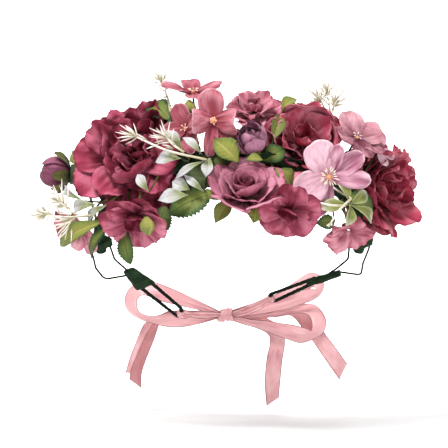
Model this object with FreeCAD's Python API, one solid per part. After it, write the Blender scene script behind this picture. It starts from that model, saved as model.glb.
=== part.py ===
import FreeCAD, Part
import math
import os
from collections import namedtuple

# A flower crown: cloth flowers and leaves tied to a band of two wires and a taped stem
# bundle, with bendable wire ends that a ribbon bow pulls together behind the head.
# Millimetres. +X is the wearer's left, +Y the back of the head, +Z up.
# The origin is the centre of the band's ring, where the head goes.

Vector = FreeCAD.Vector

# The band. Its front stands higher than its back, by this turn about X.
BAND_TILT = 37.0
BAND_RADIUS = 92.0
RAIL_SPACING = 14.0
RAIL_DIAMETER = 1.5
BUNDLE_DIAMETER = 8.0
BAND_END_ANGLE = 97.0
END_WIRE_START_ANGLE = 97.7
WRAP_ANGLES = (-94, -57, -30, 10.5, 37, 88)
WRAP_SPAN = 5.0
WRAP_DEPTH = 10.0
WRAP_OVERHANG = 1.6

# The ends of the band.
EYELET_DIAMETER = 2.3
EYELET_BEND = 2.0
TAPE_THICKNESS = 4.6
RING_LENGTH = 6.0
RING_WALL = 1.1

# The ribbon. A loop's width runs down and back, so it shows its face to the front.
RIBBON_THICKNESS = 0.7
RIBBON_WIDTH_RUN = Vector(0, 6.0, -10.4)
STRAND_THICKNESS = 1.7
STRAND_GAP = 0.3
KNOT_CENTRE = (-3.7, 94.5)
KNOT_LENGTH = 11.0
KNOT_WIDTH = 9.0
KNOT_DEPTH = 9.2
KNOT_HOLE_WIDTH = 4.8
KNOT_HOLE_DEPTH = 5.2
KNOT_ROUNDING = 2.0
LOOP_FRONT = 78.5
LOOP_PINCH = 7.0
LOWER_LOOP_FRONT = 85.0
LEAD_FRONT = 93.5
LEAD_THICKNESS = 2.0
LEAD_POST_FRONT = 77.0
LEAD_POST_BOTTOM = -62.0
LEAD_POST_WIDTH = 8.0
LEAD_POST_HEIGHT = 9.0
TAIL_THICKNESS = 0.8
TAIL_LAYER_STEP = 1.2

# Cloth parts and their stems.
LEAF_THICKNESS = 0.8
PETAL_THICKNESS = 1.2
FIT_GAP = 0.3
STAMEN_RADIUS = 2.2
STAMEN_HEIGHT = 3.0
STEM_DIAMETER = 1.8
STALK_DIAMETER = 1.2
BUD_STEM_CLEARANCE = 0.3

# The proportions of a bloom, as parts of its radius.
PETAL_WALL = 0.16
PEONY_DEPTH = 0.72
PEONY_HEART = 0.5
PEONY_NECK = 0.3
ROSE_DEPTH = 0.5
ROSE_HEART = 0.3
ROSE_NECK = 0.22
BUD_DEPTH = 0.85
BUD_HEIGHT = 0.9
BUD_NECK = 0.5
BLOSSOM_DEPTH = 0.45
BLOSSOM_HEIGHT = 0.3
FLORET_LOBE = 0.52
FLORET_MIDDLE = 0.2
FLORET_OVERLAP = 0.92
CONE_LENGTH = 1.2
STEM_ENTRY = 0.92

# Where a bloom sits: how far across, back and up its middle is from the origin, then where
# it faces and its radius.
Bloom = namedtuple("Bloom", "spot yaw pitch size")

PEONIES = {
    "peony_left": Bloom((-66, -52, 58), -18, 10, 36),
    "peony_centre": Bloom((48, -62, 68), 8, 20, 28),
    "peony_right": Bloom((109, -20, 35), 52, 0, 32),
}
ROSE = Bloom((10, -98, 37), 0, 50, 23)
BUDS = {
    "ranunculus": Bloom((14, -84, 67), -15, 40, 12.5),
    "rose_bud": Bloom((-125, 18, 48), -85, 5, 12),
}
BLOSSOMS = {
    "blossom_low_left": Bloom((-61, -78, 17), -8, -35, 20),
    "blossom_left_end": Bloom((-103, -38, 9), -45, -30, 15),
    "blossom_low_centre": Bloom((37, -90, 20), 5, -30, 16),
    "blossom_low_right": Bloom((79, -62, 8), 15, -50, 15),
    "blossom_top": Bloom((16, -60, 88), 0, 45, 20),
}
FLORETS = {
    "hydrangea_front": Bloom((64, -88, 42), 5, 0, 24),
    "hydrangea_upper_right": Bloom((85, -50, 69), 25, 40, 17),
    "hydrangea_far_right": Bloom((102, -30, 62), 45, 30, 12),
    "hydrangea_left": Bloom((-11, -84, 79), -5, 0, 17),
    "hydrangea_top": Bloom((-25, -58, 99), 0, 70, 17),
    "hydrangea_mid_left": Bloom((-29, -77, 74), -30, 10, 14),
}

# A leaf runs from its base to its tip, both across, back and up, and has a width.
Leaf = namedtuple("Leaf", "base tip width")

SERRATED_LEAVES = (
    Leaf((-41, -56, 81), (-54, -40, 94), 17),
    Leaf((-12, -90, 31), (-40, -88, 18), 21),
    Leaf((-69, -72, 7), (-66, -80, -15), 13),
    Leaf((-84, -62, 8), (-94, -54, -12), 12),
    Leaf((-43, -78, 23), (-47, -82, 3), 18),
    Leaf((-9, -84, 38), (-31, -80, 45), 20),
    Leaf((69, -72, 13), (57, -80, 12), 10),
    Leaf((7, -76, 57), (-5, -80, 75), 14),
    Leaf((21, -76, 53), (36, -72, 61), 14),
    Leaf((77, -60, 30), (98, -40, 19), 16),
    Leaf((-25, -66, 62), (-41, -62, 82), 17),
    Leaf((0, -80, 45), (-20, -80, 54), 17),
    Leaf((-17, -80, 38), (-38, -74, 30), 16),
)
YOUNG_LEAVES = (
    Leaf((5, -88, 51), (-11, -86, 67), 16),
    Leaf((29, -88, 47), (40, -86, 35), 13),
    Leaf((17, -90, 26), (15, -94, 12), 15),
    Leaf((1, -90, 27), (-10, -92, 12), 11),
    Leaf((33, -62, 86), (45, -50, 96), 9),
    Leaf((-84, -74, 13), (-117, -42, -4), 13),
    Leaf((-103, -26, 51), (-110, -8, 63), 6),
    Leaf((28, -72, 66), (33, -60, 86), 10),
    Leaf((21, -92, 53), (10, -94, 53), 7),
    Leaf((-8, -94, 27), (-16, -98, 34), 6),
)
FROSTED_LEAVES = (
    Leaf((-32, -92, 54), (-49, -88, 52), 11),
    Leaf((-31, -88, 59), (-43, -82, 73), 8),
    Leaf((-19, -92, 57), (-31, -88, 68), 6),
    Leaf((-13, -95, 54), (-16, -98, 42), 8),
    Leaf((-27, -98, 30), (-47, -96, 27), 10),
    Leaf((-26, -94, 33), (-38, -90, 39), 10),
    Leaf((-88, -68, 24), (-107, -44, 22), 9),
    Leaf((-82, -72, 24), (-96, -54, 11), 8),
    Leaf((-99, -48, 27), (-115, -20, 38), 6),
    Leaf((-53, -92, 32), (-61, -86, 44), 7),
    Leaf((-17, -98, 52), (-36, -94, 41), 5),
    Leaf((-17, -98, 32), (-30, -94, 43), 5),
)
ROSETTE_CENTRE = (78, -84, 24)
ROSETTE_TIPS = ((69, -84, 41), (90, -76, 33), (95, -64, 12), (57, -88, 22), (76, -88, 10))
ROSETTE_LEAF_WIDTH = 9.0

# A spray of needles: where its stem starts and each star of needles ends.
Spray = namedtuple("Spray", "base heads")

BENDING_SPRAYS = {
    "spray_top_left": Spray((-40, -64, 86), ((-47, -45, 109),)),
    "spray_top_right": Spray((69, -32, 77), ((67, -16, 103), (73, -22, 96), (61, -22, 98))),
}
FIXED_SPRAYS = (
    Spray((-92, -66, 17), ((-126, -46, 18), (-114, -54, 26), (-108, -60, 12))),
    Spray((-16, -100, 53), ((-63, -86, 69), (-42, -92, 68))),
    Spray((79, -88, 28), ((65, -96, 12), (54, -98, 26))),
)
NEEDLES_PER_HEAD = 6
NEEDLE_LENGTH = 9.0
NEEDLE_RADIUS = 0.8
NEEDLE_POINT = 0.15
NEEDLE_LEAN = 0.75
NEEDLE_REFERENCE = Vector(0.3, 0.2, 1)
HEAD_RADIUS = 1.3
BRANCHING = 0.3
SPRAY_STEM_DIAMETER = 1.4
SPRAY_SWING = 10.0
SPRAY_CLEARANCE = 1.0
SWING_MARGIN = 2.0
NEAR_PIVOT = 5.0
MOST_OPEN = 70.0

GREEN_BUDS = (((-27, -70, 88), 5.0), ((-54, -94, 10), 5.5))


def plane_point(across, back, lift=0.0):
    """A point in the plane of the band: across to the wearer's left, and to the back."""
    return FreeCAD.Rotation(Vector(1, 0, 0), -BAND_TILT).multVec(Vector(across, back, lift))


def band_point(angle, radius, lift):
    """A point by its angle round the band from the front, its radius and its height."""
    turn = math.radians(angle)
    return plane_point(radius * math.sin(turn), -radius * math.cos(turn), lift)


def bundle_point(spot):
    """The point of the stem bundle that a place on the crown stands over."""
    level = FreeCAD.Rotation(Vector(1, 0, 0), BAND_TILT).multVec(Vector(*spot))
    return band_point(math.degrees(math.atan2(level.x, -level.y)), BAND_RADIUS, 0)


def facing(yaw, pitch):
    """The direction of a bloom that is turned sideways by yaw and up by pitch."""
    side = math.radians(yaw)
    rise = math.radians(pitch)
    return Vector(math.sin(side) * math.cos(rise), -math.cos(side) * math.cos(rise), math.sin(rise))


def tilt(shape):
    """Turn a shape that was drawn in a level band into the plane of the band."""
    tilted = shape.copy()
    tilted.rotate(Vector(0, 0, 0), Vector(1, 0, 0), -BAND_TILT)
    return tilted


def place(shape, position, direction):
    """Stand a shape drawn along Z at a position, looking along a direction."""
    placed = shape.copy()
    placed.Placement = FreeCAD.Placement(position, FreeCAD.Rotation(Vector(0, 0, 1), direction))
    return placed


def largest(shape):
    """The main lump of a shape that a cut may have left in several."""
    return max(shape.Solids, key=lambda solid: solid.Volume)


def settle(shape, neighbours):
    """Cut a soft part back to the room that its neighbours leave."""
    close = [other for other in neighbours if other.BoundBox.intersect(shape.BoundBox)]
    if close:
        shape = shape.cut(close)
    return largest(shape)


def arc_of_band(face, start, end):
    """Turn a section round the band's axis, from one angle to another."""
    turned = face.revolve(Vector(0, 0, 0), Vector(0, 0, 1), end - start)
    turned.rotate(Vector(0, 0, 0), Vector(0, 0, 1), start - 90)
    return tilt(turned)


def round_section(radius, diameter):
    """A round section that stands across the band at a radius."""
    circle = Part.makeCircle(diameter / 2, Vector(radius, 0, 0), Vector(0, 1, 0))
    return Part.Face(Part.Wire(circle))


def bent_path(points, bend):
    """Straight runs through the points, joined by tangent arcs of one radius."""
    edges = []
    run_start = points[0]
    for before, corner, after in zip(points, points[1:], points[2:]):
        back = (before - corner).normalize()
        ahead = (after - corner).normalize()
        half_angle = back.getAngle(ahead) / 2
        setback = bend / math.tan(half_angle)
        arc_start = corner + back * setback
        arc_end = corner + ahead * setback
        arc_middle = corner + (back + ahead).normalize() * (bend / math.sin(half_angle) - bend)
        edges.append(Part.LineSegment(run_start, arc_start).toShape())
        edges.append(Part.Arc(arc_start, arc_middle, arc_end).toShape())
        run_start = arc_end
    edges.append(Part.LineSegment(run_start, points[-1]).toShape())
    return Part.Wire(edges)


def tube(points, bend, diameter):
    """A round wire along a bent path."""
    circle = Part.makeCircle(diameter / 2, points[0], points[1] - points[0])
    return largest(bent_path(points, bend).makePipeShell([Part.Wire(circle)], True, False))


def rod(start, end, diameter):
    """A straight round rod between two points."""
    run = end - start
    return Part.makeCylinder(diameter / 2, run.Length, start, run)


def plate(corners, thickness):
    """A flat prism: a polygon of corners, thickened along a vector."""
    return Part.Face(Part.makePolygon(list(corners) + [corners[0]])).extrude(thickness)


def bulge(radius, height):
    """The arc of a ball from its pole on the axis to the rim of a cap of that height."""
    depth = abs(height)
    ball = (radius * radius + depth * depth) / (2 * depth)
    half = math.atan2(radius, depth - ball) if depth > ball else math.asin(radius / ball)
    middle = Vector(ball * math.sin(half / 2), 0, depth - ball + ball * math.cos(half / 2))
    if height < 0:
        middle.z = -middle.z
    return Part.Arc(Vector(0, 0, height), middle, Vector(radius, 0, 0)).toShape()


def turned(edges):
    """Turn a closed outline of edges about the axis into a solid."""
    face = Part.Face(Part.Wire(Part.__sortEdges__(edges)))
    return largest(face.revolve(Vector(0, 0, 0), Vector(0, 0, 1), 360))


def cushion(radius, below, above):
    """A closed form with a round rim, bulging below and above it."""
    axis = Part.LineSegment(Vector(0, 0, -below), Vector(0, 0, above)).toShape()
    return turned([bulge(radius, -below), bulge(radius, above), axis])


def cup(radius, depth, wall):
    """A bowl whose rim lies in the level plane."""
    rim = Part.LineSegment(Vector(radius, 0, 0), Vector(radius - wall, 0, 0)).toShape()
    axis = Part.LineSegment(Vector(0, 0, -depth), Vector(0, 0, wall - depth)).toShape()
    return turned([bulge(radius, -depth), rim, bulge(radius - wall, wall - depth), axis])


def room_round_bundle():
    """The bundle made a little thicker, for the bud's stem that turns on it."""
    section = round_section(BAND_RADIUS, BUNDLE_DIAMETER + 2 * BUD_STEM_CLEARANCE)
    return largest(arc_of_band(section, -BAND_END_ANGLE, BAND_END_ANGLE))


def make_band():
    """The two rails, the taped stems between them and the tape that ties them together."""
    half = RAIL_SPACING / 2
    rail_radii = (BAND_RADIUS - half, BAND_RADIUS + half)
    ends = (-BAND_END_ANGLE, BAND_END_ANGLE)
    rails = [arc_of_band(round_section(radius, RAIL_DIAMETER), *ends) for radius in rail_radii]
    bundle = arc_of_band(round_section(BAND_RADIUS, BUNDLE_DIAMETER), *ends)

    inner = rail_radii[0] - WRAP_OVERHANG
    outer = rail_radii[1] + WRAP_OVERHANG
    height = WRAP_DEPTH / 2
    corners = [Vector(inner, 0, -height), Vector(outer, 0, -height)]
    corners += [Vector(outer, 0, height), Vector(inner, 0, height)]
    section = Part.Face(Part.makePolygon(corners + [corners[0]]))
    for radius in rail_radii:
        section = section.cut(round_section(radius, RAIL_DIAMETER))
    section = section.cut(round_section(BAND_RADIUS, BUNDLE_DIAMETER)).Faces[0]
    wraps = [arc_of_band(section, angle, angle + WRAP_SPAN) for angle in WRAP_ANGLES]
    return {
        "frame_wire_inner": largest(rails[0]),
        "frame_wire_outer": largest(rails[1]),
        "stem_bundle": largest(bundle),
        "binding_wraps": Part.makeCompound([largest(wrap) for wrap in wraps]),
    }


def make_arm(side, wires, wire_bends, eyelet, tape, tape_lift, strand, strand_lift):
    """One bendable end of the band: its wires, eyelet and tape, and the ribbon it holds."""
    legs = tube([plane_point(*point) for point in eyelet], EYELET_BEND, EYELET_DIAMETER)
    end_wires = []
    for points, bend in zip(wires, wire_bends):
        end_wires.append(tube([plane_point(*point) for point in points], bend, RAIL_DIAMETER))
    joint = plate(
        [plane_point(*corner, tape_lift) for corner in tape],
        plane_point(0, 0, TAPE_THICKNESS),
    )

    # The ribbon's ring closes round the bar across the eyelet's end.
    bar_start = plane_point(*eyelet[1])
    bar_end = plane_point(*eyelet[2])
    bar = (bar_end - bar_start).normalize()
    ring_start = (bar_start + bar_end) * 0.5 - bar * (RING_LENGTH / 2)
    ring = Part.makeCylinder(EYELET_DIAMETER / 2 + RING_WALL, RING_LENGTH, ring_start, bar)
    ribbon = plate(
        [plane_point(*corner, strand_lift) for corner in strand],
        plane_point(0, 0, STRAND_THICKNESS),
    )
    return {
        "end_wires_" + side: Part.makeCompound(end_wires),
        "eyelet_" + side: legs,
        "tape_joint_" + side: largest(joint.cut(end_wires + [legs])),
        "ribbon_strand_" + side: largest(ribbon.fuse(ring).cut(legs)),
    }


def rail_end(side, radius):
    """Where an end wire starts, just behind the end of its rail."""
    turn = math.radians(END_WIRE_START_ANGLE)
    return (side * radius * math.sin(turn), -radius * math.cos(turn))


def make_arms():
    """Both bendable ends. The two sides are bent by hand, so they aren't mirror images."""
    inner = BAND_RADIUS - RAIL_SPACING / 2
    outer = BAND_RADIUS + RAIL_SPACING / 2
    left = make_arm(
        "left",
        wires=(
            (rail_end(-1, inner), (-82.5, 23), (-73, 38.5)),
            (rail_end(-1, outer), (-96.5, 34), (-91, 48), (-72.5, 42.5)),
        ),
        wire_bends=(12, 5),
        eyelet=((-61.5, 45.5), (-35.8, 86), (-37.5, 98.5), (-69, 53)),
        tape=((-77, 39), (-69, 34), (-54.5, 51.5), (-68.5, 61.5)),
        tape_lift=-TAPE_THICKNESS / 2,
        strand=((-34.6, 89.3), (-34.6, 95.1), (-15, 95.7), (-1.5, 95.7), (-1.5, 93.3), (-15, 93.3)),
        strand_lift=STRAND_GAP,
    )
    right = make_arm(
        "right",
        wires=(
            (rail_end(1, inner), (84.5, 23), (76.5, 35)),
            (rail_end(1, outer), (95.5, 28), (95, 42.5), (77.5, 38.3)),
        ),
        wire_bends=(8, 3),
        eyelet=((62, 46.5), (29.5, 67.5), (31.5, 77.5), (61, 48.5, -2.8)),
        tape=((79, 33.5), (80.5, 40), (58, 53), (55, 47)),
        tape_lift=-TAPE_THICKNESS,
        strand=((28.7, 69.5), (29.8, 75), (8, 95.7), (-6, 95.7), (-6, 93.3), (6.8, 93.3)),
        strand_lift=-STRAND_GAP - STRAND_THICKNESS,
    )
    return {**left, **right}


def make_knot():
    """The wrap of ribbon that closes the bow, hollow so that both strands run through it."""
    across, back = KNOT_CENTRE
    low = Vector(across - KNOT_LENGTH / 2, back - KNOT_WIDTH / 2, -KNOT_DEPTH / 2)
    block = Part.makeBox(KNOT_LENGTH, KNOT_WIDTH, KNOT_DEPTH, low)
    long_edges = [edge for edge in block.Edges if edge.BoundBox.XLength > KNOT_LENGTH / 2]
    block = block.makeFillet(KNOT_ROUNDING, long_edges)
    hole_low = Vector(low.x, back - KNOT_HOLE_WIDTH / 2, -KNOT_HOLE_DEPTH / 2)
    hole = Part.makeBox(KNOT_LENGTH, KNOT_HOLE_WIDTH, KNOT_HOLE_DEPTH, hole_low)
    return largest(tilt(block.cut(hole)))


def upright_strip(corners, front, thickness):
    """A strip of ribbon in an upright plane, from corners given across and up."""
    return plate([Vector(across, front, up) for across, up in corners], Vector(0, thickness, 0))


def make_leads(knot):
    """The ribbon that runs from the back of the knot to where its four tails hang."""
    across = KNOT_CENTRE[0]
    post_low = Vector(across - LEAD_POST_WIDTH / 2, LEAD_POST_FRONT, LEAD_POST_BOTTOM)
    post_depth = LEAD_FRONT + LEAD_THICKNESS - LEAD_POST_FRONT
    leads = Part.makeBox(LEAD_POST_WIDTH, post_depth, LEAD_POST_HEIGHT, post_low)
    outlines = (
        ((-4, -54), (-4, -62), (-45, -64), (-64, -64), (-56, -55.5), (-40, -54)),
        ((-4, -54), (-4, -62), (20, -70), (30.8, -79), (42.4, -79), (36, -68), (20, -58)),
        ((-4, -53), (-4, -58), (47, -58), (60.3, -73.4), (73.4, -73.4), (56, -49), (20, -50)),
    )
    for outline in outlines:
        leads = leads.fuse(upright_strip(outline, LEAD_FRONT, LEAD_THICKNESS))
    return largest(leads.removeSplitter().cut(knot.copy()))


def teardrop(apex, centre, radius):
    """A face with a pointed end at the apex and a round end of that radius."""
    run = centre - apex
    axis = Vector(run).normalize()
    up = Vector(-axis.z, 0, axis.x)
    opening = math.asin(radius / run.Length)
    touch = [
        centre - axis * (radius * math.sin(opening)) + up * (side * radius * math.cos(opening))
        for side in (1, -1)
    ]
    edges = [
        Part.LineSegment(apex, touch[0]).toShape(),
        Part.Arc(touch[0], centre + axis * radius, touch[1]).toShape(),
        Part.LineSegment(touch[1], apex).toShape(),
    ]
    return Part.Face(Part.Wire(edges))


def bow_loop(apex, centre, radius, front):
    """A loop of ribbon that leaves the knot and comes back to it."""
    rise = Vector(0, front, 0) - RIBBON_WIDTH_RUN * 0.5
    rise.y = front
    apex_point = Vector(apex[0], 0, apex[1]) + rise
    centre_point = Vector(centre[0], 0, centre[1]) + rise
    pinch = (centre_point - apex_point).normalize() * LOOP_PINCH
    outside = teardrop(apex_point, centre_point, radius + RIBBON_THICKNESS / 2)
    inside = teardrop(apex_point + pinch, centre_point, radius - RIBBON_THICKNESS / 2)
    return largest(outside.cut(inside).extrude(RIBBON_WIDTH_RUN))


def make_bow():
    """The knot, its loops and its tails."""
    knot = make_knot()
    second_layer = LEAD_FRONT + TAIL_LAYER_STEP
    return {
        "bow_knot": knot,
        "tail_leads": make_leads(knot),
        "bow_loop_left": bow_loop((-10.6, -56.3), (-66.5, -50), 12, LOOP_FRONT),
        "bow_loop_right_upper": bow_loop((3.4, -56.3), (64, -41.5), 6.5, LOOP_FRONT),
        "bow_loop_right_lower": bow_loop((3.4, -58), (62, -64), 9.5, LOWER_LOOP_FRONT),
        "tail_left_front": upright_strip(
            ((-60, -64.7), (-53.5, -64.7), (-66.5, -113), (-76.5, -107)), LEAD_FRONT, TAIL_THICKNESS
        ),
        "tail_left_back": upright_strip(
            ((-64, -64.7), (-53, -64.7), (-67.5, -104), (-79, -101)), second_layer, TAIL_THICKNESS
        ),
        "tail_middle": upright_strip(
            ((30.5, -79.7), (42, -79.7), (37.6, -120.6), (28.2, -127.3), (27, -114.6)),
            LEAD_FRONT,
            TAIL_THICKNESS,
        ),
        "tail_right": upright_strip(
            ((60.8, -74.1), (73.9, -74.1), (89.5, -95.1), (83.7, -107.3)), LEAD_FRONT, TAIL_THICKNESS
        ),
    }


def bloom_frame(bloom):
    """The place and the direction of a bloom."""
    return Vector(*bloom.spot), facing(bloom.yaw, bloom.pitch)


def make_stem(bloom, depth, neck):
    """A cone of sepals behind a bloom, and its wire stem down to the bundle."""
    position, direction = bloom_frame(bloom)
    back = position - direction * depth
    length = neck * CONE_LENGTH
    cone = Part.makeCone(neck, STEM_DIAMETER / 2, length, back, direction * -1)
    tip = back - direction * (length * STEM_ENTRY)
    return cone.fuse(rod(tip, bundle_point(bloom.spot), STEM_DIAMETER))


def floret_plate(size):
    """Four flat petals round the middle of a small flower."""
    lobe = size * FLORET_LOBE
    shape = Part.makeCylinder(size * FLORET_MIDDLE, PETAL_THICKNESS)
    for quarter in range(4):
        turn = math.radians(45 + 90 * quarter)
        centre = Vector(lobe * math.cos(turn), lobe * math.sin(turn), 0) * FLORET_OVERLAP
        shape = shape.fuse(Part.makeCylinder(lobe, PETAL_THICKNESS, centre))
    return largest(shape.removeSplitter())


def stalk(where):
    """A thin stem from a place on the crown down to the stem bundle."""
    return rod(Vector(*where), bundle_point(where), STALK_DIAMETER)


def leaf_plate(leaf):
    """A thin leaf with two curved sides, its face turned away from the head, and its stalk."""
    base = Vector(*leaf.base)
    tip = Vector(*leaf.tip)
    along = tip - base
    outward = (base + tip).normalize()
    across = along.cross(outward).normalize()
    normal = across.cross(along).normalize()
    middle = (base + tip) * 0.5
    sides = [
        Part.Arc(base, middle + across * (side * leaf.width / 2), tip).toShape() for side in (1, -1)
    ]
    face = Part.Face(Part.Wire(Part.__sortEdges__(sides)))
    return face.extrude(normal * LEAF_THICKNESS).fuse(stalk(leaf.base))


def needle_head(centre, direction):
    """A star of needles round the end of a stem."""
    star = Part.makeSphere(HEAD_RADIUS, centre)
    side = direction.cross(NEEDLE_REFERENCE).normalize()
    for index in range(NEEDLES_PER_HEAD):
        spread = FreeCAD.Rotation(direction, 360.0 * index / NEEDLES_PER_HEAD).multVec(side)
        needle = (direction * NEEDLE_LEAN + spread).normalize()
        star = star.fuse(Part.makeCone(NEEDLE_RADIUS, NEEDLE_POINT, NEEDLE_LENGTH, centre, needle))
    return star


def make_spray(spray):
    """A branched stem with a star of needles at each end."""
    base = Vector(*spray.base)
    first = Vector(*spray.heads[0])
    shape = Part.makeSphere(SPRAY_STEM_DIAMETER / 2, base)
    for index, head in enumerate(spray.heads):
        end = Vector(*head)
        start = base if index == 0 else base + (first - base) * BRANCHING
        shape = shape.fuse(rod(start, end, SPRAY_STEM_DIAMETER))
        shape = shape.fuse(needle_head(end, (end - start).normalize()))
    return largest(shape)


def swing_room(shape, pivot):
    """The room a bendable piece needs: a sector of a ball that holds its whole swing."""
    arms = [vertex.Point - pivot for vertex in shape.Vertexes]
    reach = max(arm.Length for arm in arms) + SPRAY_CLEARANCE
    middle = sum(arms, Vector(0, 0, 0)).normalize()
    spread = max(math.degrees(arm.getAngle(middle)) for arm in arms if arm.Length > NEAR_PIVOT)
    opening = math.radians(min(spread + SPRAY_SWING + SWING_MARGIN, MOST_OPEN))
    rim = Vector(reach * math.sin(opening), 0, reach * math.cos(opening))
    crown = Vector(reach * math.sin(opening / 2), 0, reach * math.cos(opening / 2))
    top = Vector(0, 0, reach)
    tip = Vector(0, 0, 0)
    sector = turned([
        Part.LineSegment(tip, top).toShape(),
        Part.Arc(top, crown, rim).toShape(),
        Part.LineSegment(rim, tip).toShape(),
    ])
    return place(sector, pivot - middle * SWING_MARGIN, middle)


def make_flowers(band):
    """Every bloom, leaf and spray on the band, each cut to the room that is left for it."""
    solids = {}
    taken = list(band)

    def add(name, shape):
        """Settle a part among the parts that are already there, and keep it."""
        settled = settle(shape, taken)
        taken.append(settled)
        solids.setdefault(name, []).append(settled)

    # The bendable sprays come first, each with the room it swings in.
    for name, spray in BENDING_SPRAYS.items():
        shape = make_spray(spray)
        solids[name] = [shape]
        taken.append(swing_room(shape, Vector(*spray.base)))

    # Small flowers and buds stand in front of the large ones.
    for name, bloom in FLORETS.items():
        position, direction = bloom_frame(bloom)
        foot = position + direction * PETAL_THICKNESS
        stamens = Part.makeCylinder(STAMEN_RADIUS, STAMEN_HEIGHT, foot, direction)
        add("hydrangea_stamens", stamens)
        add(name, place(floret_plate(bloom.size), position, direction))
    position, direction = bloom_frame(ROSE)
    wall = ROSE.size * PETAL_WALL
    depth = ROSE.size * ROSE_DEPTH
    add("rose_outer_petals", place(cup(ROSE.size, depth, wall), position, direction))
    inside = wall + FIT_GAP
    heart = cushion(ROSE.size - inside, depth - inside, ROSE.size * ROSE_HEART)
    add("rose_inner_petals", place(heart, position, direction))
    for name, bloom in BUDS.items():
        position, direction = bloom_frame(bloom)
        bud = cushion(bloom.size, bloom.size * BUD_DEPTH, bloom.size * BUD_HEIGHT)
        add(name + "_petals", place(bud, position, direction))

    # Stems.
    add("rose_calyx", make_stem(ROSE, depth, ROSE.size * ROSE_NECK))
    for name, bloom in BUDS.items():
        calyx = make_stem(bloom, bloom.size * BUD_DEPTH, bloom.size * BUD_NECK)
        if name == "rose_bud":
            calyx = calyx.cut(room_round_bundle())
        add(name + "_calyx", calyx)
    for name, bloom in PEONIES.items():
        add(name + "_calyx", make_stem(bloom, bloom.size * PEONY_DEPTH, bloom.size * PEONY_NECK))
    for bloom in list(FLORETS.values()) + list(BLOSSOMS.values()):
        position, direction = bloom_frame(bloom)
        add("small_stems", rod(position, bundle_point(bloom.spot), STEM_DIAMETER))

    # Greenery that lies over the large flowers.
    for spray in FIXED_SPRAYS:
        add("sprays_fixed", make_spray(spray).fuse(stalk(spray.base)))
    for spray in BENDING_SPRAYS.values():
        add("small_stems", stalk(spray.base))
    for where, radius in GREEN_BUDS:
        add("green_buds", Part.makeSphere(radius, Vector(*where)))
    for tip in ROSETTE_TIPS:
        add("sepal_rosette", leaf_plate(Leaf(ROSETTE_CENTRE, tip, ROSETTE_LEAF_WIDTH)))
    for leaf in FROSTED_LEAVES:
        add("frosted_leaves", leaf_plate(leaf))
    for leaf in YOUNG_LEAVES:
        add("young_leaves", leaf_plate(leaf))

    # Large flowers, then the leaves behind them.
    for name, bloom in BLOSSOMS.items():
        position, direction = bloom_frame(bloom)
        blossom = cushion(bloom.size, bloom.size * BLOSSOM_DEPTH, bloom.size * BLOSSOM_HEIGHT)
        add(name, place(blossom, position, direction))
    for name, bloom in PEONIES.items():
        position, direction = bloom_frame(bloom)
        wall = bloom.size * PETAL_WALL
        depth = bloom.size * PEONY_DEPTH
        add(name + "_outer_petals", place(cup(bloom.size, depth, wall), position, direction))
        inside = wall + FIT_GAP
        heart = cushion(bloom.size - inside, depth - inside, bloom.size * PEONY_HEART)
        add(name + "_inner_petals", place(heart, position, direction))
    for leaf in SERRATED_LEAVES:
        add("serrated_leaves", leaf_plate(leaf))
    return {
        name: shapes[0] if len(shapes) == 1 else Part.makeCompound(shapes)
        for name, shapes in solids.items()
    }


def main():
    """Build every node and write one STEP file for each."""
    band = make_band()
    nodes = dict(band)
    nodes.update(make_arms())
    nodes.update(make_bow())
    band_solids = [solid for shape in band.values() for solid in shape.Solids]
    nodes.update(make_flowers(band_solids))
    os.makedirs("parts", exist_ok=True)
    for name, shape in nodes.items():
        shape.exportStep("parts/" + name + ".step")
    print(len(nodes), "nodes,", sum(len(shape.Solids) for shape in nodes.values()), "solids")


main()
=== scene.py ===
import math
import random
from collections import namedtuple

import bpy
from mathutils import Matrix, Vector, noise


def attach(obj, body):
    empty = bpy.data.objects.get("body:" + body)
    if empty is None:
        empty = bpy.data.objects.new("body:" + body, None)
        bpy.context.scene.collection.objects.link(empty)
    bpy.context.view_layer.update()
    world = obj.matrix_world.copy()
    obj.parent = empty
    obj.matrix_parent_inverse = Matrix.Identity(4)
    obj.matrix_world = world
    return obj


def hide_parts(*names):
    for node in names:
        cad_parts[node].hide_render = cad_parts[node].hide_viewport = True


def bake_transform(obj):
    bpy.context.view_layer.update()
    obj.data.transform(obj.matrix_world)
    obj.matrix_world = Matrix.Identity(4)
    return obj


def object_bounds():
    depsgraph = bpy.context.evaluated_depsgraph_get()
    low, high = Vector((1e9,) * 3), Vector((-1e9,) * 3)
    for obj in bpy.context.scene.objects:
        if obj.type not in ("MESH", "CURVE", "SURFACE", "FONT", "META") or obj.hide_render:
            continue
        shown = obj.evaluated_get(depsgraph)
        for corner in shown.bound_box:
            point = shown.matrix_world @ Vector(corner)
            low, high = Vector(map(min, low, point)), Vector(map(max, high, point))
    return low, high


# The looks of a flower crown. Lengths are millimetres until a mesh is made, which is in
# metres. +X is the wearer's left, +Y the back of the head, +Z up, as in the frame.

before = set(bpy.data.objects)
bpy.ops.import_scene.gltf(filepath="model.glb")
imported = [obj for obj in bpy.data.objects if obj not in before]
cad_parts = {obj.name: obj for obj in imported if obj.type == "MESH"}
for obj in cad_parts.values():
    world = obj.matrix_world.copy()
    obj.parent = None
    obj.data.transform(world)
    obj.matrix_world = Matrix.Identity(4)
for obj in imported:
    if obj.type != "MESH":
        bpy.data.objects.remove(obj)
cad_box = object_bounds()

MM = 0.001

# The band, as the frame has it: a ring whose front stands higher than its back.
BAND_TILT = 37.0
BAND_RADIUS = 92.0
RAIL_SPACING = 14.0
RAIL_DIAMETER = 1.5
BUNDLE_RADIUS = 4.0
BAND_END_ANGLE = 97.0
CLOTH_THICKNESS = 0.3
LEAF_THICKNESS = 0.35
STALK_RADIUS = 0.7
RIBBON_WIDTH = 12.0
RIBBON_THICKNESS = 0.3

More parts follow.
